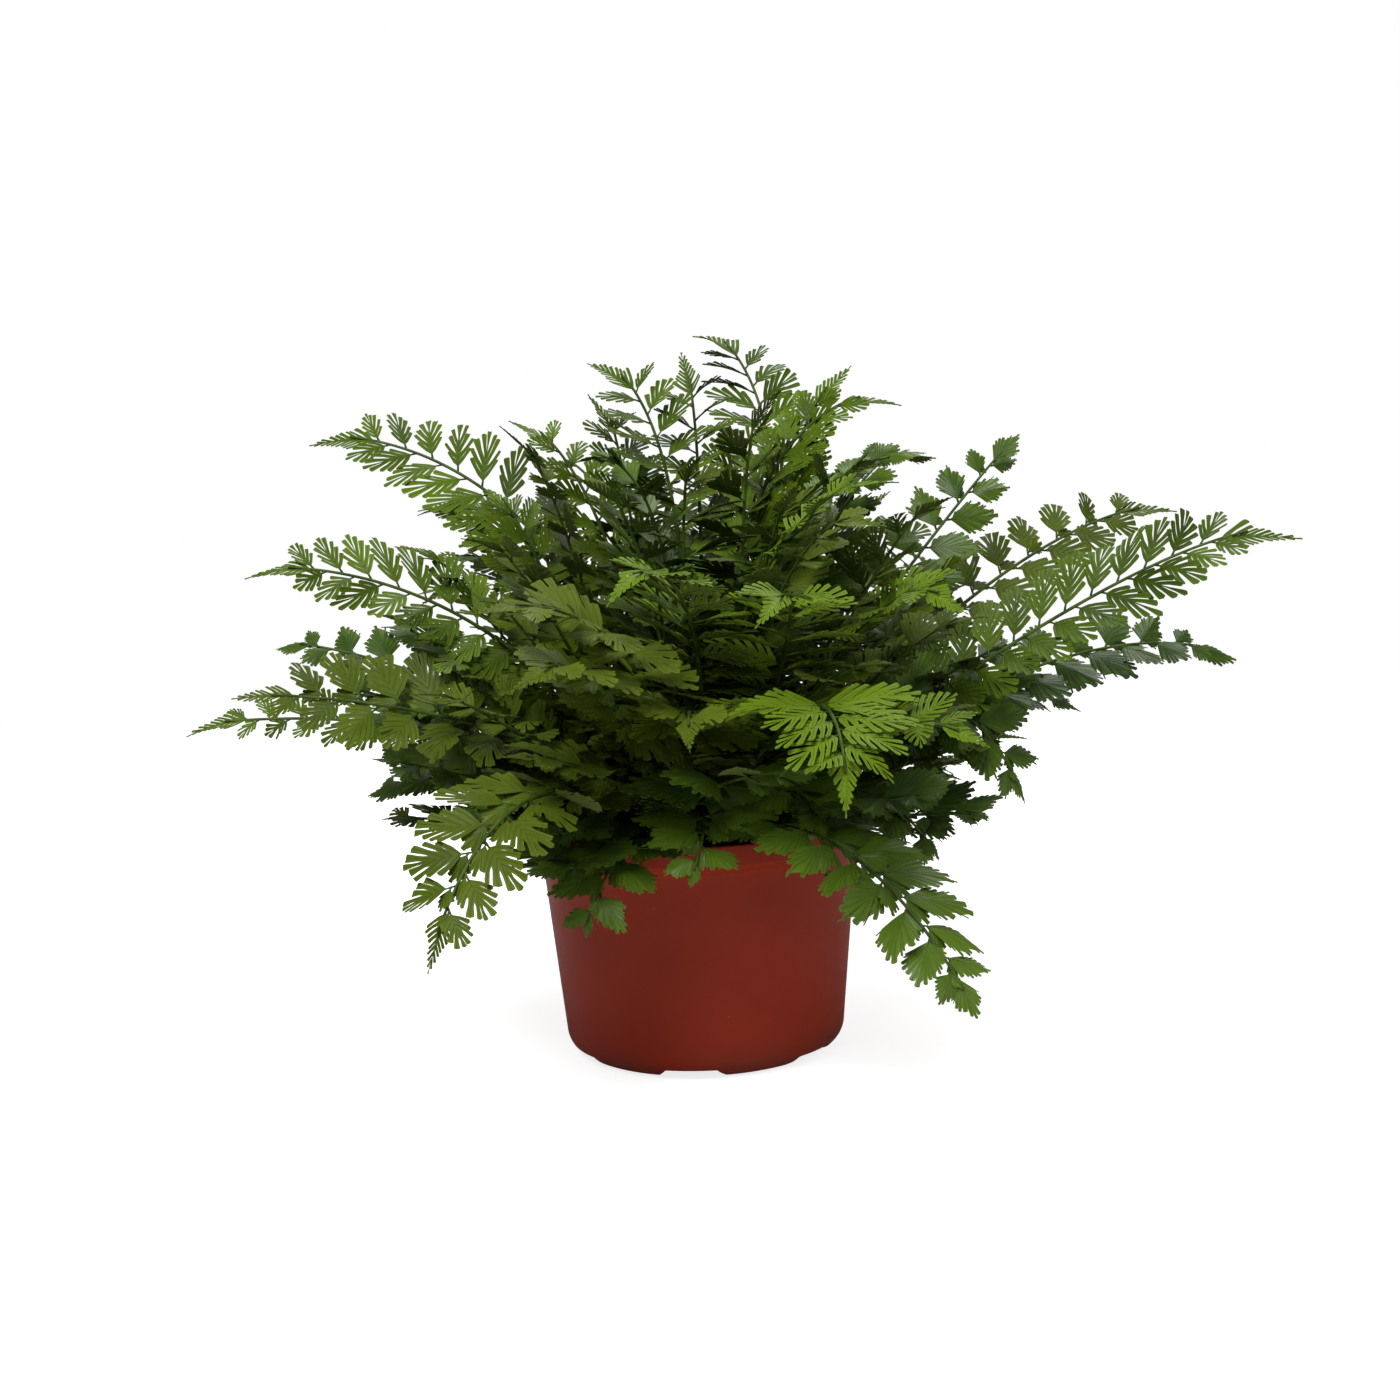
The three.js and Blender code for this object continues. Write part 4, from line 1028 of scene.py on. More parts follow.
# %% [markdown]
# ### Six kinds of blade
# The first row of a finger is where its web ends, so a small number there cuts a blade deep, and one
# near 1 leaves only teeth. The other numbers give its outline. Fine and feather blades are on young
# fronds, lobed ones on grown fronds and broad ones on old fronds. A lobe is the small free blade at
# the foot of a lobed or broad one, and the tip is the blade that ends a frond.

# %% The kinds of blade
# fingers: their number. web_rows: rows of points in the web. first, last: where along the midrib the
# fingers begin. spread: angle of the lowest, in degrees. ease: how soon the others follow it. bend:
# how much a finger turns forwards. reach: lengths at the tip, in the middle and at the foot, as shares
# of the blade's length. rows, fill: how far along a finger each row is, and how much of the room there
# its finger takes. channel: depth of the groove over a vein. rounding: how far a corner is cut back.
BLADES = {
    "fine": dict(fingers=9, web_rows=1, first=0.12, last=0.62, spread=43, ease=1.9, bend=0.20,
                 reach=(0.38, 0.46, 0.38), rows=(0.25, 0.52, 0.82, 0.94, 1.0),
                 fill=(0.90, 0.79, 0.93, 0.87, 0.48), channel=0.010, rounding=0.04),
    "feather": dict(fingers=11, web_rows=1, first=0.08, last=0.74, spread=60, ease=2.6, bend=0.24,
                    reach=(0.24, 0.38, 0.42), rows=(0.14, 0.48, 0.82, 0.94, 1.0),
                    fill=(0.84, 0.54, 0.66, 0.62, 0.36), channel=0.010, rounding=0.04),
    "lobed": dict(fingers=9, web_rows=2, first=0.18, last=0.62, spread=50, ease=1.8, bend=0.18,
                  reach=(0.38, 0.48, 0.44), rows=(0.44, 0.62, 0.85, 0.955, 1.0),
                  fill=(0.93, 0.86, 0.98, 0.94, 0.56), channel=0.010, rounding=0.04),
    "tip": dict(fingers=17, web_rows=1, first=0.03, last=0.84, spread=46, ease=3.2, bend=0.20,
                reach=(0.16, 0.22, 0.40), rows=(0.24, 0.52, 0.82, 0.94, 1.0),
                fill=(0.88, 0.72, 0.84, 0.78, 0.44), channel=0.010, rounding=0.04),
    "broad": dict(fingers=13, web_rows=3, first=0.07, last=0.46, spread=41, ease=1.8, bend=0.0,
                  reach=(0.54, 0.52, 0.50), rows=(0.84, 0.92, 0.975, 1.0),
                  fill=(0.98, 0.98, 0.82, 0.46), channel=0.006, rounding=0.02),
    "lobe": dict(fingers=7, web_rows=2, first=0.10, last=0.40, spread=38, ease=1.7, bend=0.0,
                 reach=(0.60, 0.60, 0.56), rows=(0.84, 0.92, 0.975, 1.0),
                 fill=(0.98, 0.98, 0.82, 0.46), channel=0.006, rounding=0.02),
}
LAYOUTS = {kind: blade_layout(b["fingers"], b["web_rows"], b["web_rows"] + len(b["rows"]))
           for kind, b in BLADES.items()}
for kind, (source, _, top, under) in LAYOUTS.items():
    print(f"{kind} blade: {len(source)} points, {len(top) + len(under)} faces")


# %% Leaves lie on the pot, not in it
LEAF_CLEARANCE = 0.9
WALL_ZONE = 12.0  # points this near to the wall are moved off it. Those further in lie over the mix


def clear_of_pot(points):
    """Points inside the pot's outline go the shorter way out of it: outwards to just off its side,
    or up to just over its rim. Points over the mix stay above it."""
    radius = np.hypot(points[..., 0], points[..., 1])
    z = points[..., 2]
    outside = np.where(z > SHOULDER_HEIGHT, RIM_RADIUS, body_radius(z)) + LEAF_CLEARANCE
    push = outside - radius
    lift = POT_HEIGHT + LEAF_CLEARANCE - z
    over_mix = radius <= RIM_RADIUS - WALL_ZONE
    in_wall = ~over_mix & (push > 0) & (lift > 0)
    outwards = np.where(in_wall & (push < lift), outside / np.maximum(radius, 1), 1)
    raised = np.where(in_wall & (push >= lift), POT_HEIGHT + LEAF_CLEARANCE, z)
    raised = np.where(over_mix, np.maximum(raised, SOIL_TOP + SOIL_MOUND + LEAF_CLEARANCE), raised)
    return np.concatenate([points[..., :2] * outwards[..., None], raised[..., None]], -1)


# %% [markdown]
# ### From layout to leaf
# First the blades are worked out flat, all of a frond's at once, each with its own small differences:
# no two fingers have quite the same angle or length. Then a second function gives them depth. Real
# leaflets arch, fold along the midrib and twist, and light that slides over those bends is most of
# what makes them look alive. Each one is a thin closed solid, so it looks right from below too.

# %% Points of a blade
ANGLE_VARIES = 0.045  # radians
LENGTH_VARIES, TOOTH_VARIES = 0.055, 0.03  # shares of the length of a free finger, and of a tooth
ROOM = (0.02, 0.15)  # narrowest and widest a finger may be, as shares of the blade's length
LOBING, LOBE_WAVE = 0.05, 9.4  # broad blades bulge and dip a little along their outline


def flat_blades(kind, count, draw):
    """Blades of length 1 that lie flat, with their own small differences. A finger leaves the midrib
    at its own angle, turns slowly forwards, and is half as wide as the room to its neighbours. In
    the web, points lie evenly between the midrib and the web's edge."""
    b = BLADES[kind]
    s = np.linspace(-1, 1, b["fingers"])
    a, sign = np.abs(s), np.sign(s)
    angle = np.radians(b["spread"]) * sign * (1 - (1 - a) ** b["ease"])
    angle = angle + draw.normal(0, ANGLE_VARIES, (count, len(s)))
    tip, middle, foot = b["reach"]
    reach = tip * (1 - a) * (1 - 2 * a) + middle * 4 * a * (1 - a) + foot * a * (2 * a - 1)
    toothed = b["bend"] == 0
    jitter = draw.normal(0, TOOTH_VARIES if toothed else LENGTH_VARIES, (count, len(s)))
    lobing = LOBING * np.cos(a * LOBE_WAVE) * toothed
    reach = reach * (1 + jitter + lobing)
    reach[:, len(s) // 2] = tip
    base = between(b["last"], b["first"], a)
    v = np.array(b["rows"])
    theta = angle[..., None] * (1 - b["bend"] * v)
    centre = np.stack([base[:, None] + reach[..., None] * v * np.cos(theta),
                       reach[..., None] * v * np.sin(theta)], -1)
    across = np.stack([-np.sin(theta), np.cos(theta)], -1)
    ahead = np.stack([np.cos(theta), np.sin(theta)], -1)
    step = centre[:, 1:] - centre[:, :-1]
    after = (step * across[:, :-1]).sum(-1)
    before = (step * across[:, 1:]).sum(-1)
    room = np.minimum(
        np.concatenate([after, after[:, -1:]], 1), np.concatenate([before[:, :1], before], 1))
    half = np.clip(room, *ROOM) / 2 * np.array(b["fill"])
    column = np.array([-1.0, 0, 1.0])[:, None, None]
    rounding = (np.abs(column[..., 0]) * np.where(v == 1, b["rounding"], 0))[..., None]
    notch = draw.uniform(0, 0.05, (count, len(s), 1, 1, 1)) * (column == 0) * (v == 1)[:, None]
    fingers = (centre[:, :, None] + across[:, :, None] * column * half[:, :, None, :, None]
               - ahead[:, :, None] * (rounding + notch) * reach[:, :, None, None, None])
    rib_step = 0.3 * (b["last"] - b["first"]) / (len(s) // 2)
    signs = sign[:, None] * column[:, 0, 0]
    signs[len(s) // 2] = np.abs(column[:, 0, 0])
    midrib = np.stack([base[:, None] - signs * rib_step, np.zeros((len(s), 3))], -1)
    web_share = np.arange(b["web_rows"]) / b["web_rows"]
    web = between(midrib[None, :, :, None], fingers[:, :, :, :1], web_share[:, None])
    points = np.concatenate([web, fingers], 3)
    rows = np.concatenate([web_share * v[0], v])
    vein = np.broadcast_to(np.abs(column[:, 0]), (len(s), 3, len(rows)))
    return points.reshape(count, -1, 2), vein.ravel(), np.broadcast_to(rows, vein.shape).ravel()


# %% Blades in their places
FULL_WIDTH = 21.0  # leaflets longer than this grow longer but hardly wider
FULL_WIDTH_FALL = 0.8  # how much of a leaflet's extra length is missing from its width
LEAF_THICKNESS = 0.34
ARCH, FOLD, TWIST, RIPPLE = (0.02, 0.30), 0.12, 0.22, 0.05
RIB_AT = np.array([-0.03, 0.12, 0.34, 0.60])
RIB_TAPER = np.array([1.0, 0.85, 0.6, 0.3])
RIB_HALF_WIDTH, RIB_HALF_HEIGHT = 0.42, 0.36


def leaf_blades(kind, foot, ray, side, upper, length, draw, youth, height):
    """Blades set in place. Each is arched, folded along its midrib, rippled and twisted a little, then
    carried to its own foot, ray, side and upper direction. A raised midrib runs along it."""
    count = len(length)
    source, layer, top, under = LAYOUTS[kind]
    flat, vein, reach = flat_blades(kind, count, draw)
    flat, vein, reach = flat[:, source], vein[source], reach[source]
    size = length[:, None]
    arch = draw.uniform(*ARCH, (count, 1))
    fold = draw.normal(FOLD if BLADES[kind]["bend"] else -FOLD, FOLD, (count, 1))
    twist = draw.normal(0, TWIST, (count, 1))
    phase = draw.uniform(0, 2 * np.pi, (count, 1))

    def relief(x, y):
        """Height of the sheet: it falls with x squared, rises with y at both sides, and ripples."""
        return -arch * x**2 + fold * np.abs(y) + RIPPLE * np.sin(9 * x + phase) * y

    def placed(x, y, z):
        """Points twisted about the midrib, made full size and carried to the leaflet's place."""
        turn = twist * (0.3 + x)
        across, up = y * np.cos(turn) - z * np.sin(turn), y * np.sin(turn) + z * np.cos(turn)
        ahead, across, up = ((v * size)[..., None] for v in (x, across, up))
        return clear_of_pot(
            foot[:, None] + ray[:, None] * ahead + side[:, None] * across + upper[:, None] * up)

    slimmer = np.minimum(1, FULL_WIDTH / size) ** FULL_WIDTH_FALL
    x, y = flat[..., 0], flat[..., 1] * slimmer
    groove = BLADES[kind]["channel"] * (1 - vein) * np.minimum(1, reach * 2)
    z = relief(x, y) - groove + layer * LEAF_THICKNESS / 2 / size
    ages = {"youth": youth, "up": height}
    sheets = [
        copies(placed(x, y, z), [sheet], skin, vein=vein, reach=reach, **ages)
        for skin, sheet in ((0, top), (1, under))
    ]
    sheets[0]["faces"].append(sheets[1]["faces"][0])
    sheets[0]["skins"].append(sheets[1]["skins"][0])

    ring = np.array([[0, 1.0], [-1.0, 0], [0, -1.0], [1.0, 0]])
    rib_x = np.repeat(RIB_AT, 4)[None] + np.zeros((count, 1))
    rib_y = (RIB_TAPER[:, None] * ring[:, 0]).ravel() * RIB_HALF_WIDTH / size
    rib_z = (RIB_TAPER[:, None] * ring[:, 1]).ravel() * RIB_HALF_HEIGHT / size
    rib_z = relief(rib_x, np.zeros_like(rib_x)) + rib_z
    k = np.arange(12).reshape(3, 4)
    around = np.stack([k, np.roll(k, -1, 1), np.roll(k, -1, 1) + 4, k + 4], -1).reshape(-1, 4)
    faces = np.concatenate([around, [[3, 2, 1, 0], [12, 13, 14, 15]]])
    ribs = copies(placed(rib_x, rib_y, rib_z), [faces], 2, vein=0, reach=0, **ages)
    return [sheets[0], ribs]


# %% [markdown]
# ### A whole frond
# A stalk is a tube along its line, with a shallow groove on its upper side. Its leaflets don't lie
# where the frame of the line puts them: a plant turns each one to the light, and lays one over the
# next like roof tiles. Turning them here, and not bending the whole frond, keeps each foot in place.


# %% Tubes
def tube(at, side, face, radius, sides, skin=0, **values):
    """Point (i, k) stands off path point i by its radius, at angle k from side towards face. Fans of
    triangles close both ends."""
    turn = np.linspace(0, 2 * np.pi, sides, endpoint=False)
    radius = np.broadcast_to(np.reshape(radius, (len(at), -1)), (len(at), sides))[..., None]
    ring = side[:, None] * np.cos(turn)[:, None] + face[:, None] * np.sin(turn)[:, None]
    grid = at[:, None] + ring * radius
    number = np.arange(len(at) * sides).reshape(len(at), sides)
    ahead = np.roll(number, -1, 1)
    quads = np.stack([number[:-1], ahead[:-1], ahead[1:], number[1:]], -1).reshape(-1, 4)
    foot = np.stack([np.full(sides, number.size), ahead[0], number[0]], -1)
    head = np.stack([np.full(sides, number.size + 1), number[-1], ahead[-1]], -1)
    points = np.concatenate([grid.reshape(-1, 3), at[[0, -1]]])
    spread = {
        k: np.concatenate([np.repeat(v, sides), v[[0, -1]]]) for k, v in values.items()
    }
    return surface(points, [quads, np.concatenate([foot, head])], skin, **spread)


# %% How leaflets turn to the light
FRONT = 270.0  # azimuth of the side that most of the light came from
LIGHT_ABOVE = 0.6  # how much of the light comes from above, where 1 comes from the side
LIGHT_PULL = {"fine": 0.55, "lobed": 0.55, "broad": 0.75}  # 1 turns a leaflet to the light altogether
SWING = ([0, 110, 180], [0, 35, 180])  # degrees from the front: of a leaflet, and of its light


def turned_to_light(foot, ray, upper, pull):
    """The upper directions, turned about each leaflet's own ray towards the light: old direction and
    light are mixed, then made square to the ray. The plant grew with most light from in front and
    above, so leaves at the sides turn half forwards, and those at the back turn outwards."""
    from_front = (np.degrees(np.arctan2(foot[:, 1], foot[:, 0])) - FRONT + 180) % 360 - 180
    swung = np.sign(from_front) * np.interp(np.abs(from_front), *SWING)
    light = unit(UP * LIGHT_ABOVE + polar(FRONT + swung, 1, 0))
    mix = upper * (1 - pull) + light * pull
    return unit(mix - ray * dot(mix, ray))


# %% One frond
TIP_LENGTH = {"fine": 0.17, "lobed": 0.17, "broad": 0.13}  # of the end blade, as a share of the leafy part
STALK_SLENDERNESS = 0.86  # the fine stalk's thickness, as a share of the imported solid's
STALK_SUNK = 3.5  # how far a stalk's foot goes down among the scales
STALK_STEPS, STALK_SIDES = 56, 10
SHINGLE = np.radians(15)  # each leaflet's forward margin is raised over the next one's
TILT_VARIES, YOUTH_VARIES = 0.20, 0.13
LOBE_AHEAD = np.radians(50)  # angle between a leaflet and the free lobe at its foot
LOBE_SIZE, SHORTEST_WITH_LOBE = 0.46, 9.0
FEATHERED = "front_bright bright_left bright_right bright_low_right arch_left arch_right".split()


def stem_surface(stalk, length):
    """The stalk up to a length, as a tube that is grooved along its upper side and flares at its foot.
    Its radius falls evenly, times 1 less a bell curve round the groove, times 1 plus a decay."""
    distance = np.linspace(0, length, STALK_STEPS)
    at, along, side, face = stalk.frame(distance)
    share = np.concatenate([[0], distance / stalk.length])
    at = np.concatenate([at[:1] - along[:1] * STALK_SUNK, at])
    side, face = np.concatenate([side[:1], side]), np.concatenate([face[:1], face])
    turn = np.linspace(0, 2 * np.pi, STALK_SIDES, endpoint=False)
    groove = 1 - 0.26 * np.exp(-(((turn - np.pi / 2) / 0.45) ** 2))
    flare = 1 + 0.45 * np.exp(-share / 0.03)
    radius = thickness_at(share) / 2 * STALK_SLENDERNESS * flare
    return tube(at, side, face, radius[:, None] * groove, STALK_SIDES, 2, up=share, vein=0 * share,
                reach=0 * share, youth=0 * share + stalk.f["youth"])


def frond_surface(stalk):
    """The stalk, a fine blade on each leaflet, a small free lobe at the foot of each broad or lobed
    one, and the blade at the end."""
    f = stalk.f
    draw = np.random.default_rng(sum(map(ord, f["name"])))
    end_start = stalk.length - stalk.blade * TIP_LENGTH[f["kind"]]
    stem = stem_surface(stalk, between(end_start, stalk.length, 0.35))

    leaves = LEAFLETS[f["name"]]
    before_end = leaves["share"] * stalk.length < end_start + 1.5
    leaves = {label: values[before_end] for label, values in leaves.items()}
    count = len(leaves["length"])
    youth = f["youth"] + draw.normal(0, YOUTH_VARIES, (count, 1)) + 0.12 * (leaves["q"][:, None] - 0.5)
    height = leaves["share"][:, None]
    hands = leaves["hand"][:, None]
    upper = turned_to_light(leaves["foot"], leaves["ray"], leaves["upper"], LIGHT_PULL[f["kind"]])
    across = np.cross(upper, leaves["ray"])
    tilt = -hands * SHINGLE + draw.normal(0, TILT_VARIES, (count, 1))
    sides = across * np.cos(tilt) + upper * np.sin(tilt)
    uppers = upper * np.cos(tilt) - across * np.sin(tilt)
    blade_kind = "feather" if f["name"] in FEATHERED else f["kind"]
    parts = [stem] + leaf_blades(blade_kind, leaves["foot"], leaves["ray"], sides, uppers,
                                 leaves["length"], draw, youth, height)
    if f["kind"] != "fine":
        long_enough = leaves["length"] > SHORTEST_WITH_LOBE
        ray = leaves["ray"] * np.cos(LOBE_AHEAD) + leaves["across"] * np.sin(LOBE_AHEAD)
        ray = unit(ray - upper * dot(upper, ray))
        side_ways = np.cross(upper, ray)
        foot = leaves["foot"] + leaves["ray"] * 0.06 * leaves["length"][:, None]
        parts += leaf_blades(
            "lobe", foot[long_enough], ray[long_enough], side_ways[long_enough],
            upper[long_enough], leaves["length"][long_enough] * LOBE_SIZE, draw,
            youth[long_enough], height[long_enough])

    foot, _, side, _ = stalk.frame(np.array([end_start]))
    ray = unit(stalk.tip - foot)
    side_ways = unit(side - ray * dot(side, ray))
    end_kind = "broad" if f["kind"] == "broad" else "tip"
    end_youth_and_light = np.array([[f["youth"] + 0.1]])
    parts += leaf_blades(end_kind, foot, ray, side_ways, np.cross(ray, side_ways),
                         np.linalg.norm(stalk.tip - foot, axis=1), draw, end_youth_and_light, np.array([[1.0]]))
    return joined(parts)


# %% [markdown]
# ### Leaf colour
# A living leaf is not one green. It is paler and yellower while it is young and towards its tips, it
# has sunken veins, a thin pale margin, and a duller, paler underside. The pale margin is partly
# painted highlight, where light catches the raised edge. Spleenworts are named by the short brown
# rows of spores under the leaf, along the veins. Every leaf above carries four values for this, one
# number at each point: how young the leaf is, which is partly painted light set frond by frond, how
# far the point is from its vein, how far out on its finger it is, and how far up the frond. An
# Attribute node reads each of them.

# %% Group: a leaf's skin
leaf_group, given, result = new_group(
    "leaf skin",
    {"Old": (0.03, 0.07, 0.01, 1.0), "Young": (0.12, 0.22, 0.02, 1.0), "Vein": (0.1, 0.15, 0.03, 1.0),
     "Margin": (0.2, 0.3, 0.06, 1.0), "Vein Strength": 0.4, "Base Roughness": 0.35},
    {"Color": "Color", "Roughness": "Float", "Height": "Float"},
)
youth, vein, reach = (reading(leaf_group, label) for label in ("youth", "vein", "reach"))
patches = mottled(leaf_group, (0.0, 0.0, 0.0), (1.0, 1.0, 1.0), 95.0)
# Old to Young follows how young the leaf is, which is partly leaf age and partly painted light: shaded
# front fronds are set brighter, outer ones darker
age = sums(leaf_group, "MULTIPLY_ADD", reach, 0.22, youth)
age = sums(leaf_group, "MULTIPLY_ADD", patches["Mask"], 0.18, age)
age = sums(leaf_group, "SUBTRACT", age, 0.20)
age = add(leaf_group, "Clamp", {0: age}).outputs[0]
color = mixed(leaf_group, age, given["Old"], given["Young"])
vein_mask = eased(leaf_group, vein, 0.02, 0.30, 1.0, 0.0)
vein_share = sums(leaf_group, "MULTIPLY", vein_mask, given["Vein Strength"])
color = mixed(leaf_group, vein_share, color, given["Vein"])
# A pale margin that grows towards the finger tips: partly the leaf's own pale edge, partly a painted
# highlight where light catches the raised margin
near_margin = eased(leaf_group, vein, 0.72, 1.0)
margin_and_highlight_mask = sums(leaf_group, "MULTIPLY", near_margin, eased(leaf_group, reach, 0.3, 0.7, 0.1, 0.42))
color = mixed(leaf_group, margin_and_highlight_mask, color, given["Margin"])
roughness = sums(leaf_group, "MULTIPLY_ADD", patches["Grain"], 0.22, given["Base Roughness"])
grain = sums(leaf_group, "MULTIPLY", patches["Grain"], 0.35)
relief = sums(leaf_group, "SUBTRACT", grain, vein_mask)
finish_group(leaf_group, result, {"Color": color, "Roughness": roughness, "Height": relief})
print("leaf skin group:", len(leaf_group.nodes), "nodes")

# %% Group: rows of spores
spore_group, given, result = new_group(
    "spore rows", {"Leaf": (0.1, 0.15, 0.03, 1.0), "Spores": (0.12, 0.06, 0.02, 1.0), "Amount": 0.8},
    {"Color": "Color"},
)


def band(tree, value, low, low_full, high_full, high):
    """1 while the value is between the two middle numbers, easing to 0 at the two outer ones."""
    rising, falling = eased(tree, value, low, low_full), eased(tree, value, high_full, high, 1.0, 0.0)
    return sums(tree, "MULTIPLY", rising, falling)


vein, reach = reading(spore_group, "vein"), reading(spore_group, "reach")
beside = band(spore_group, vein, 0.18, 0.30, 0.46, 0.62)
within = band(spore_group, reach, 0.30, 0.42, 0.66, 0.80)
spore_mask = sums(spore_group, "MULTIPLY", beside, within)
spore_mask = sums(spore_group, "MULTIPLY", spore_mask, given["Amount"])
spotted = mixed(spore_group, spore_mask, given["Leaf"], given["Spores"])
finish_group(spore_group, result, {"Color": spotted})
print("spore group:", len(spore_group.nodes), "nodes")

# %% [markdown]
# ### Six leaf skins
# Each kind of frond has a skin for the top of its leaves and a duller one for the underside. They
# differ only in numbers, so they are rows of a table, and one function turns a row into a material.

# %% Leaf materials
# old, young, vein, margin: colours, and the pale margin is partly painted highlight. strength: how clearly
# veins show. roughness: 0 is a mirror.
# depth: of the veins, in m. spores: how dark their rows are. specular: how strongly the skin shines.
SKIN_FIELDS = "kind side old young vein margin strength roughness depth spores specular".split()
SKIN_TABLE = [
    ("fine", "top", (0.036, 0.066, 0.004), (0.128, 0.215, 0.006), (0.085, 0.150, 0.008),
     (0.18, 0.27, 0.018), 0.35, 0.36, 0.00022, 0, 0.12),
    ("fine", "under", (0.060, 0.100, 0.018), (0.150, 0.230, 0.030), (0.12, 0.18, 0.035),
     (0.20, 0.29, 0.05), 0.5, 0.52, 0.00022, 0.5, 0.10),
    ("lobed", "top", (0.036, 0.062, 0.004), (0.108, 0.155, 0.008), (0.078, 0.115, 0.010),
     (0.16, 0.21, 0.022), 0.35, 0.36, 0.00022, 0, 0.12),
    ("lobed", "under", (0.062, 0.098, 0.022), (0.138, 0.192, 0.035), (0.12, 0.165, 0.04),
     (0.19, 0.25, 0.06), 0.5, 0.52, 0.00022, 0.8, 0.10),
    ("broad", "top", (0.028, 0.066, 0.005), (0.094, 0.168, 0.009), (0.055, 0.110, 0.010),
     (0.12, 0.19, 0.020), 0.30, 0.26, 0.00020, 0, 0.28),
    ("broad", "under", (0.050, 0.090, 0.020), (0.110, 0.170, 0.030), (0.10, 0.145, 0.04),
     (0.14, 0.20, 0.05), 0.5, 0.50, 0.00022, 0.9, 0.10),
]


def leaf_skin(kind, side, strength, roughness, depth, spores, specular, **shades):
    """A leaf's skin: the shared group with this leaf's own colours, over one shader."""
    material, tree, shader = new_material(f"{kind}_leaf_{side}", Specular_IOR_Level=specular)
    placed = add(tree, "Group", {"Vein Strength": strength, "Base Roughness": roughness},
                 node_tree=leaf_group)
    for label, value in shades.items():
        placed.inputs[label.capitalize()].default_value = (*value, 1.0)
    skin = placed.outputs
    color = skin["Color"]
    if spores:
        rows = add(tree, "Group", {"Leaf": color, "Amount": spores}, node_tree=spore_group)
        color = rows.outputs["Color"]
    wear(tree, shader, color, skin["Roughness"], skin["Height"], depth, 0.7)
    return material


LEAF_SKINS = {"fine": [], "lobed": [], "broad": []}
for row in SKIN_TABLE:
    LEAF_SKINS[row[0]].append(leaf_skin(**dict(zip(SKIN_FIELDS, row))))
print("leaf skins:", [skin.name for skins in LEAF_SKINS.values() for skin in skins])

# %% [markdown]
# ### Stalks change colour
# A fern's stalk is brown and scaly where it leaves the crown and green among its leaves. Each point
# of a stalk carries its height on the frond, up, and the colour eases from brown to green with it.

# %% Stalk material
stalk_skin, tree, shader = new_material("green_stalk", Specular_IOR_Level=0.18)
up = reading(tree, "up")
greens = mottled(tree, (0.028, 0.052, 0.006), (0.070, 0.120, 0.014), 160.0)
browns = mottled(tree, (0.020, 0.014, 0.007), (0.050, 0.036, 0.016), 220.0)
stalk_color = mixed(tree, eased(tree, up, 0.05, 0.42), browns["Color"], greens["Color"])
stalk_rough = sums(tree, "MULTIPLY_ADD", greens["Grain"], 0.2, 0.34)
wear(tree, shader, stalk_color, stalk_rough, greens["Grain"], 0.0002, 0.5)
print("stalk skin:", len(tree.nodes), "nodes")

# %% [markdown]
# ### One piece for each frond
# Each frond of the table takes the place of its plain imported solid. The inner fronds stand for none,
# and they are joined by kind and by quarter of the plant, so that no piece has too many triangles.

# %% Make the fronds
for stalk in stalks:
    kind = stalk.f["kind"]
    make_piece("leafy_" + stalk.f["name"], frond_surface(stalk), [*LEAF_SKINS[kind], stalk_skin],
               "frond_" + kind, ["frond_" + stalk.f["name"]])

QUARTERS = ("right", "back", "left", "front")  # from azimuth -45 round


def quarter_of(stalk):
    """The quarter of the plant that a stalk's tip is in."""
    return QUARTERS[int((stalk.f["azimuth"] + 45) % 360 // 90)]


for kind in LEAF_SKINS:
    for quarter in QUARTERS:
        shapes = [frond_surface(stalk) for stalk in inner_stalks
                  if stalk.f["kind"] == kind and quarter_of(stalk) == quarter]
        make_piece(f"inner_{kind}_{quarter}", joined(shapes), [*LEAF_SKINS[kind], stalk_skin],
                   "frond_" + kind)

# %% [markdown]
# ## Coiled young fronds
# A fern leaf unrolls as it grows. The young ones in the heart of the crown are still rolled up like a
# watch spring, thick where they bend, with brown scales on the outside of the roll and the folded
# leaflets as small knobs on the inside. The line is a straight lean and then a spiral.

# %% The coiled fronds' table and lines
COILED = [  # name, azimuth, height, lean, radius of the coil
    ("coiled_front", 270, 44, 28, 6.5),
    ("coiled_left", 200, 40, 22, 5.5),
    ("coiled_right", 25, 56, 14, 5.5),
    ("coiled_back", 155, 54, 14, 6.0),
]
COIL_TURNS, COIL_CORE, COILED_RING = 1.35, 0.3, 0.15
STEM_POINTS, ROLL_POINTS = 40, 110


def coiled_line(azimuth, height, lean, coil):
    """A straight stem, then a spiral whose radius shrinks evenly with the angle turned."""
    foot = on_crown(azimuth, COILED_RING)
    flat = polar(azimuth + 90, 1, 0)
    tilt = np.radians(lean)
    rise = UP * np.cos(tilt) + polar(azimuth, 1, 0) * np.sin(tilt)
    inwards = unit(np.cross(rise, flat))
    stem = foot + rise * np.linspace(-0.06, 1, STEM_POINTS, endpoint=False)[:, None] * height
    share = np.linspace(0, 1, ROLL_POINTS)[:, None]
    radius = coil * (1 - (1 - COIL_CORE) * share)
    turn = 2 * np.pi * COIL_TURNS * share
    centre = foot + rise * height + inwards * coil
    roll = centre - inwards * radius * np.cos(turn) + rise * radius * np.sin(turn)
    return np.concatenate([stem, roll]), flat


# %% The coiled fronds' shape
KNOBS, HUSKS = 34, 130
KNOB_FIRST, KNOB_LAST = 46, 146  # points of the line between which the knobs are
HUSK_FIRST, HUSK_LAST = 2, 105
PAPERY_SKIN = 3  # the scales' place among the piece's materials


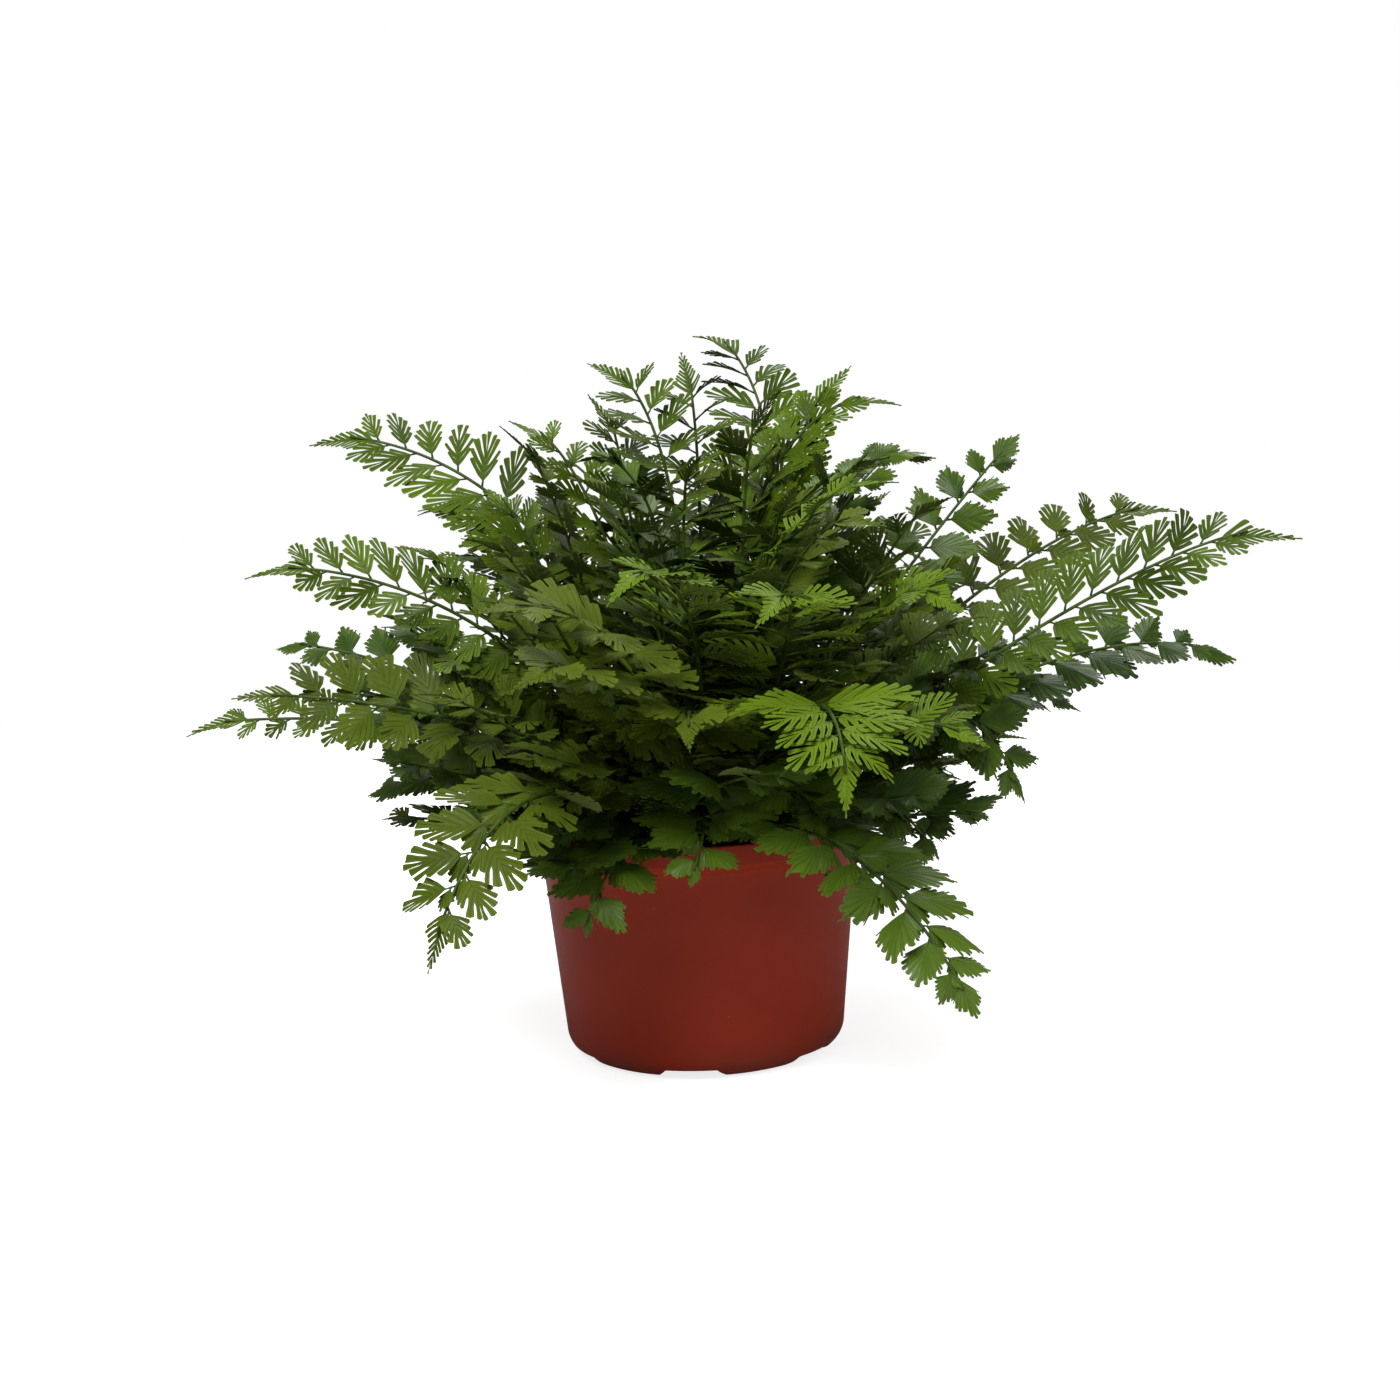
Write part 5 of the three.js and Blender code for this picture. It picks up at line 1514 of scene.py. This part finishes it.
def coiled_surface(name, azimuth, height, lean, coil):
    """A tube that swells where it bends, with knobs of folded leaflets along the roll, and scales.
    Its radius falls evenly, times 1 plus a bell curve at the bend, times a small wave."""
    draw = np.random.default_rng(sum(map(ord, name)))
    line, flat = coiled_line(azimuth, height, lean, coil)
    along = unit(np.gradient(line, axis=0))
    side = np.broadcast_to(flat, line.shape)
    face = unit(np.cross(along, side))
    share = np.linspace(0, 1, len(line))
    swell = 1 + 0.45 * np.exp(-(((share - 0.42) / 0.16) ** 2))
    radius = between(1.05, 0.62, share) * swell * (1 + 0.06 * np.sin(share * 90))
    parts = [tube(line, side, face, radius, 12, 2, up=0.35 + 0.65 * share, vein=0 * share,
                  reach=0 * share, youth=0 * share + 0.8, shade=0 * share)]
    knob = np.linspace(KNOB_FIRST, KNOB_LAST, KNOBS).astype(int)
    hands = np.where(np.arange(KNOBS) % 2, 1.0, -1.0)[:, None]
    spots = line[knob] + side[knob] * hands * radius[knob, None] * 0.95 - face[knob] * 0.25
    size = between(1.15, 0.6, share[knob])
    parts.append(crumbs(spots, size, 0.9, draw, youth=0.9, up=1.0, shade=0.0))
    at = draw.integers(HUSK_FIRST, HUSK_LAST, HUSKS)
    turn = draw.uniform(0, 2 * np.pi, HUSKS)[:, None]
    outs = side[at] * np.cos(turn) + face[at] * np.sin(turn)
    ways = unit(along[at] * 0.9 + outs * 0.45)
    outs = unit(outs - ways * dot(outs, ways))
    lengths, widths = draw.uniform(1.8, 3.6, HUSKS), draw.uniform(0.45, 0.8, HUSKS)
    husks = scales(line[at] + outs * radius[at, None] * 0.85, ways, outs, lengths, widths,
                   draw.uniform(-0.2, 0.35, HUSKS), shade=draw.uniform(0, 1, (HUSKS, 1)))
    husks["skins"] = [skins + PAPERY_SKIN for skins in husks["skins"]]
    return joined(parts + [husks])


for row in COILED:
    make_piece(row[0] + "_spring", coiled_surface(*row), [*LEAF_SKINS["fine"], stalk_skin, papery],
               "young_frond", [row[0]])

# %% [markdown]
# ## Floor, camera and lights
# A plain white sweep shows the plant best. White paper is never quite white in a picture unless it is
# lit as strongly as the plant, so this paper shines a little by itself, and the world is white where
# the camera looks into it but lights the plant much less. One large soft light above and to the left
# gives the leaves their shape, and weaker ones keep the other sides from going black.

# %% Floor
FLOOR_RADIUS, FLOOR_INNER_RING = 800.0, 300.0
FLOOR_TOP, FLOOR_FOOT = -0.02, -4.0  # a hair below the pot's foot, so the two never share a plane
WHITE = (1.0, 1.0, 1.0, 1.0)
floor_profile = [[0, FLOOR_FOOT], [FLOOR_RADIUS, FLOOR_FOOT], [FLOOR_RADIUS, FLOOR_TOP],
                 [FLOOR_INNER_RING, FLOOR_TOP], [0, FLOOR_TOP]]
paper, tree, shader = new_material("pale_paper", Specular_IOR_Level=0.1, Emission_Color=WHITE)
seen = add(tree, "LightPath").outputs["Is Camera Ray"]
tree.links.new(sums(tree, "MULTIPLY", seen, 0.8), shader.inputs["Emission Strength"])
paper_tone = mottled(tree, (0.66, 0.66, 0.66), (0.69, 0.69, 0.69), 3.0)
wear(tree, shader, paper_tone["Color"], sums(tree, "MULTIPLY_ADD", paper_tone["Grain"], 0.1, 0.8))
floor = make_piece("floor", turned(floor_profile, 96), [paper], None)

# %% [markdown]
# ### The camera
# A plant on a table is usually looked at from a little above, from about arm's length. The lens is
# long enough that the pot's sides stay nearly straight. A camera looks along its own -Z, so its
# matrix holds, as columns, its right, its up and the opposite of the way that it looks.

# %% Camera
CAMERA_AT = np.array([0.0, -0.9394, 0.28205])
CAMERA_TARGET = np.array([0.0023, 0.0, 0.11957])
CAMERA_ROLL = np.radians(-2.24)
lens = bpy.data.cameras.new("view")
lens.lens, lens.sensor_width, lens.clip_start = 72.3, 36.0, 0.01
camera = bpy.data.objects.new("view", lens)
bpy.context.scene.collection.objects.link(camera)
bpy.context.scene.camera = camera


def facing(at, target, roll=0.0):
    """The matrix of a camera or light at a place that looks at a target, turned about its line."""
    ahead = unit(target - at)
    right = unit(np.cross(ahead, UP))
    above = np.cross(right, ahead)
    turned_right = right * np.cos(roll) + above * np.sin(roll)
    turned_up = above * np.cos(roll) - right * np.sin(roll)
    matrix = np.eye(4)
    matrix[:3, 0], matrix[:3, 1], matrix[:3, 2], matrix[:3, 3] = turned_right, turned_up, -ahead, at
    return matrix.tolist()


camera.matrix_world = mathutils.Matrix(facing(CAMERA_AT, CAMERA_TARGET, CAMERA_ROLL))
distance = np.linalg.norm(CAMERA_AT - CAMERA_TARGET)
print("camera:", round(float(distance), 3), "m from what it looks at")

# %% [markdown]
# ### Soft light
# The larger a light is beside the plant, the softer its shadows. These three are squares almost a
# metre wide. The key light is above and to the left, in front. The world is pure white where the
# camera looks at it, and weak as a light, which one Light Path node can tell apart.

# %% Lights
WORLD_LIGHT = 0.16  # how strongly the world lights the plant, where 1 is how white it looks
LIT_POINT = np.array([0.0, 0.0, 0.1])
SOFT_LIGHTS = [  # name, place in m, watts, width in m
    ("key", (-0.35, -0.70, 1.35), 21.5, 0.8),
    ("fill", (0.95, -0.75, 0.60), 3.0, 0.9),
    ("back", (0.25, 0.85, 1.25), 8.0, 0.9),
]
for name, place_at, watts, width in SOFT_LIGHTS:
    light = bpy.data.lights.new(name, "AREA")
    light.energy, light.size = watts, width
    lamp = bpy.data.objects.new(name, light)
    bpy.context.scene.collection.objects.link(lamp)
    lamp.matrix_world = mathutils.Matrix(facing(np.array(place_at), LIT_POINT))

world = bpy.data.worlds.new("studio")
world.use_nodes = True
seen = add(world.node_tree, "LightPath").outputs["Is Camera Ray"]
strength = eased(world.node_tree, seen, 0.0, 1.0, WORLD_LIGHT, 1.0)
world.node_tree.links.new(strength, world.node_tree.nodes["Background"].inputs["Strength"])
world.node_tree.nodes["Background"].inputs["Color"].default_value = WHITE
bpy.context.scene.world = world
bpy.context.scene.view_settings.view_transform = "Standard"
print("lights:", [light[0] for light in SOFT_LIGHTS])
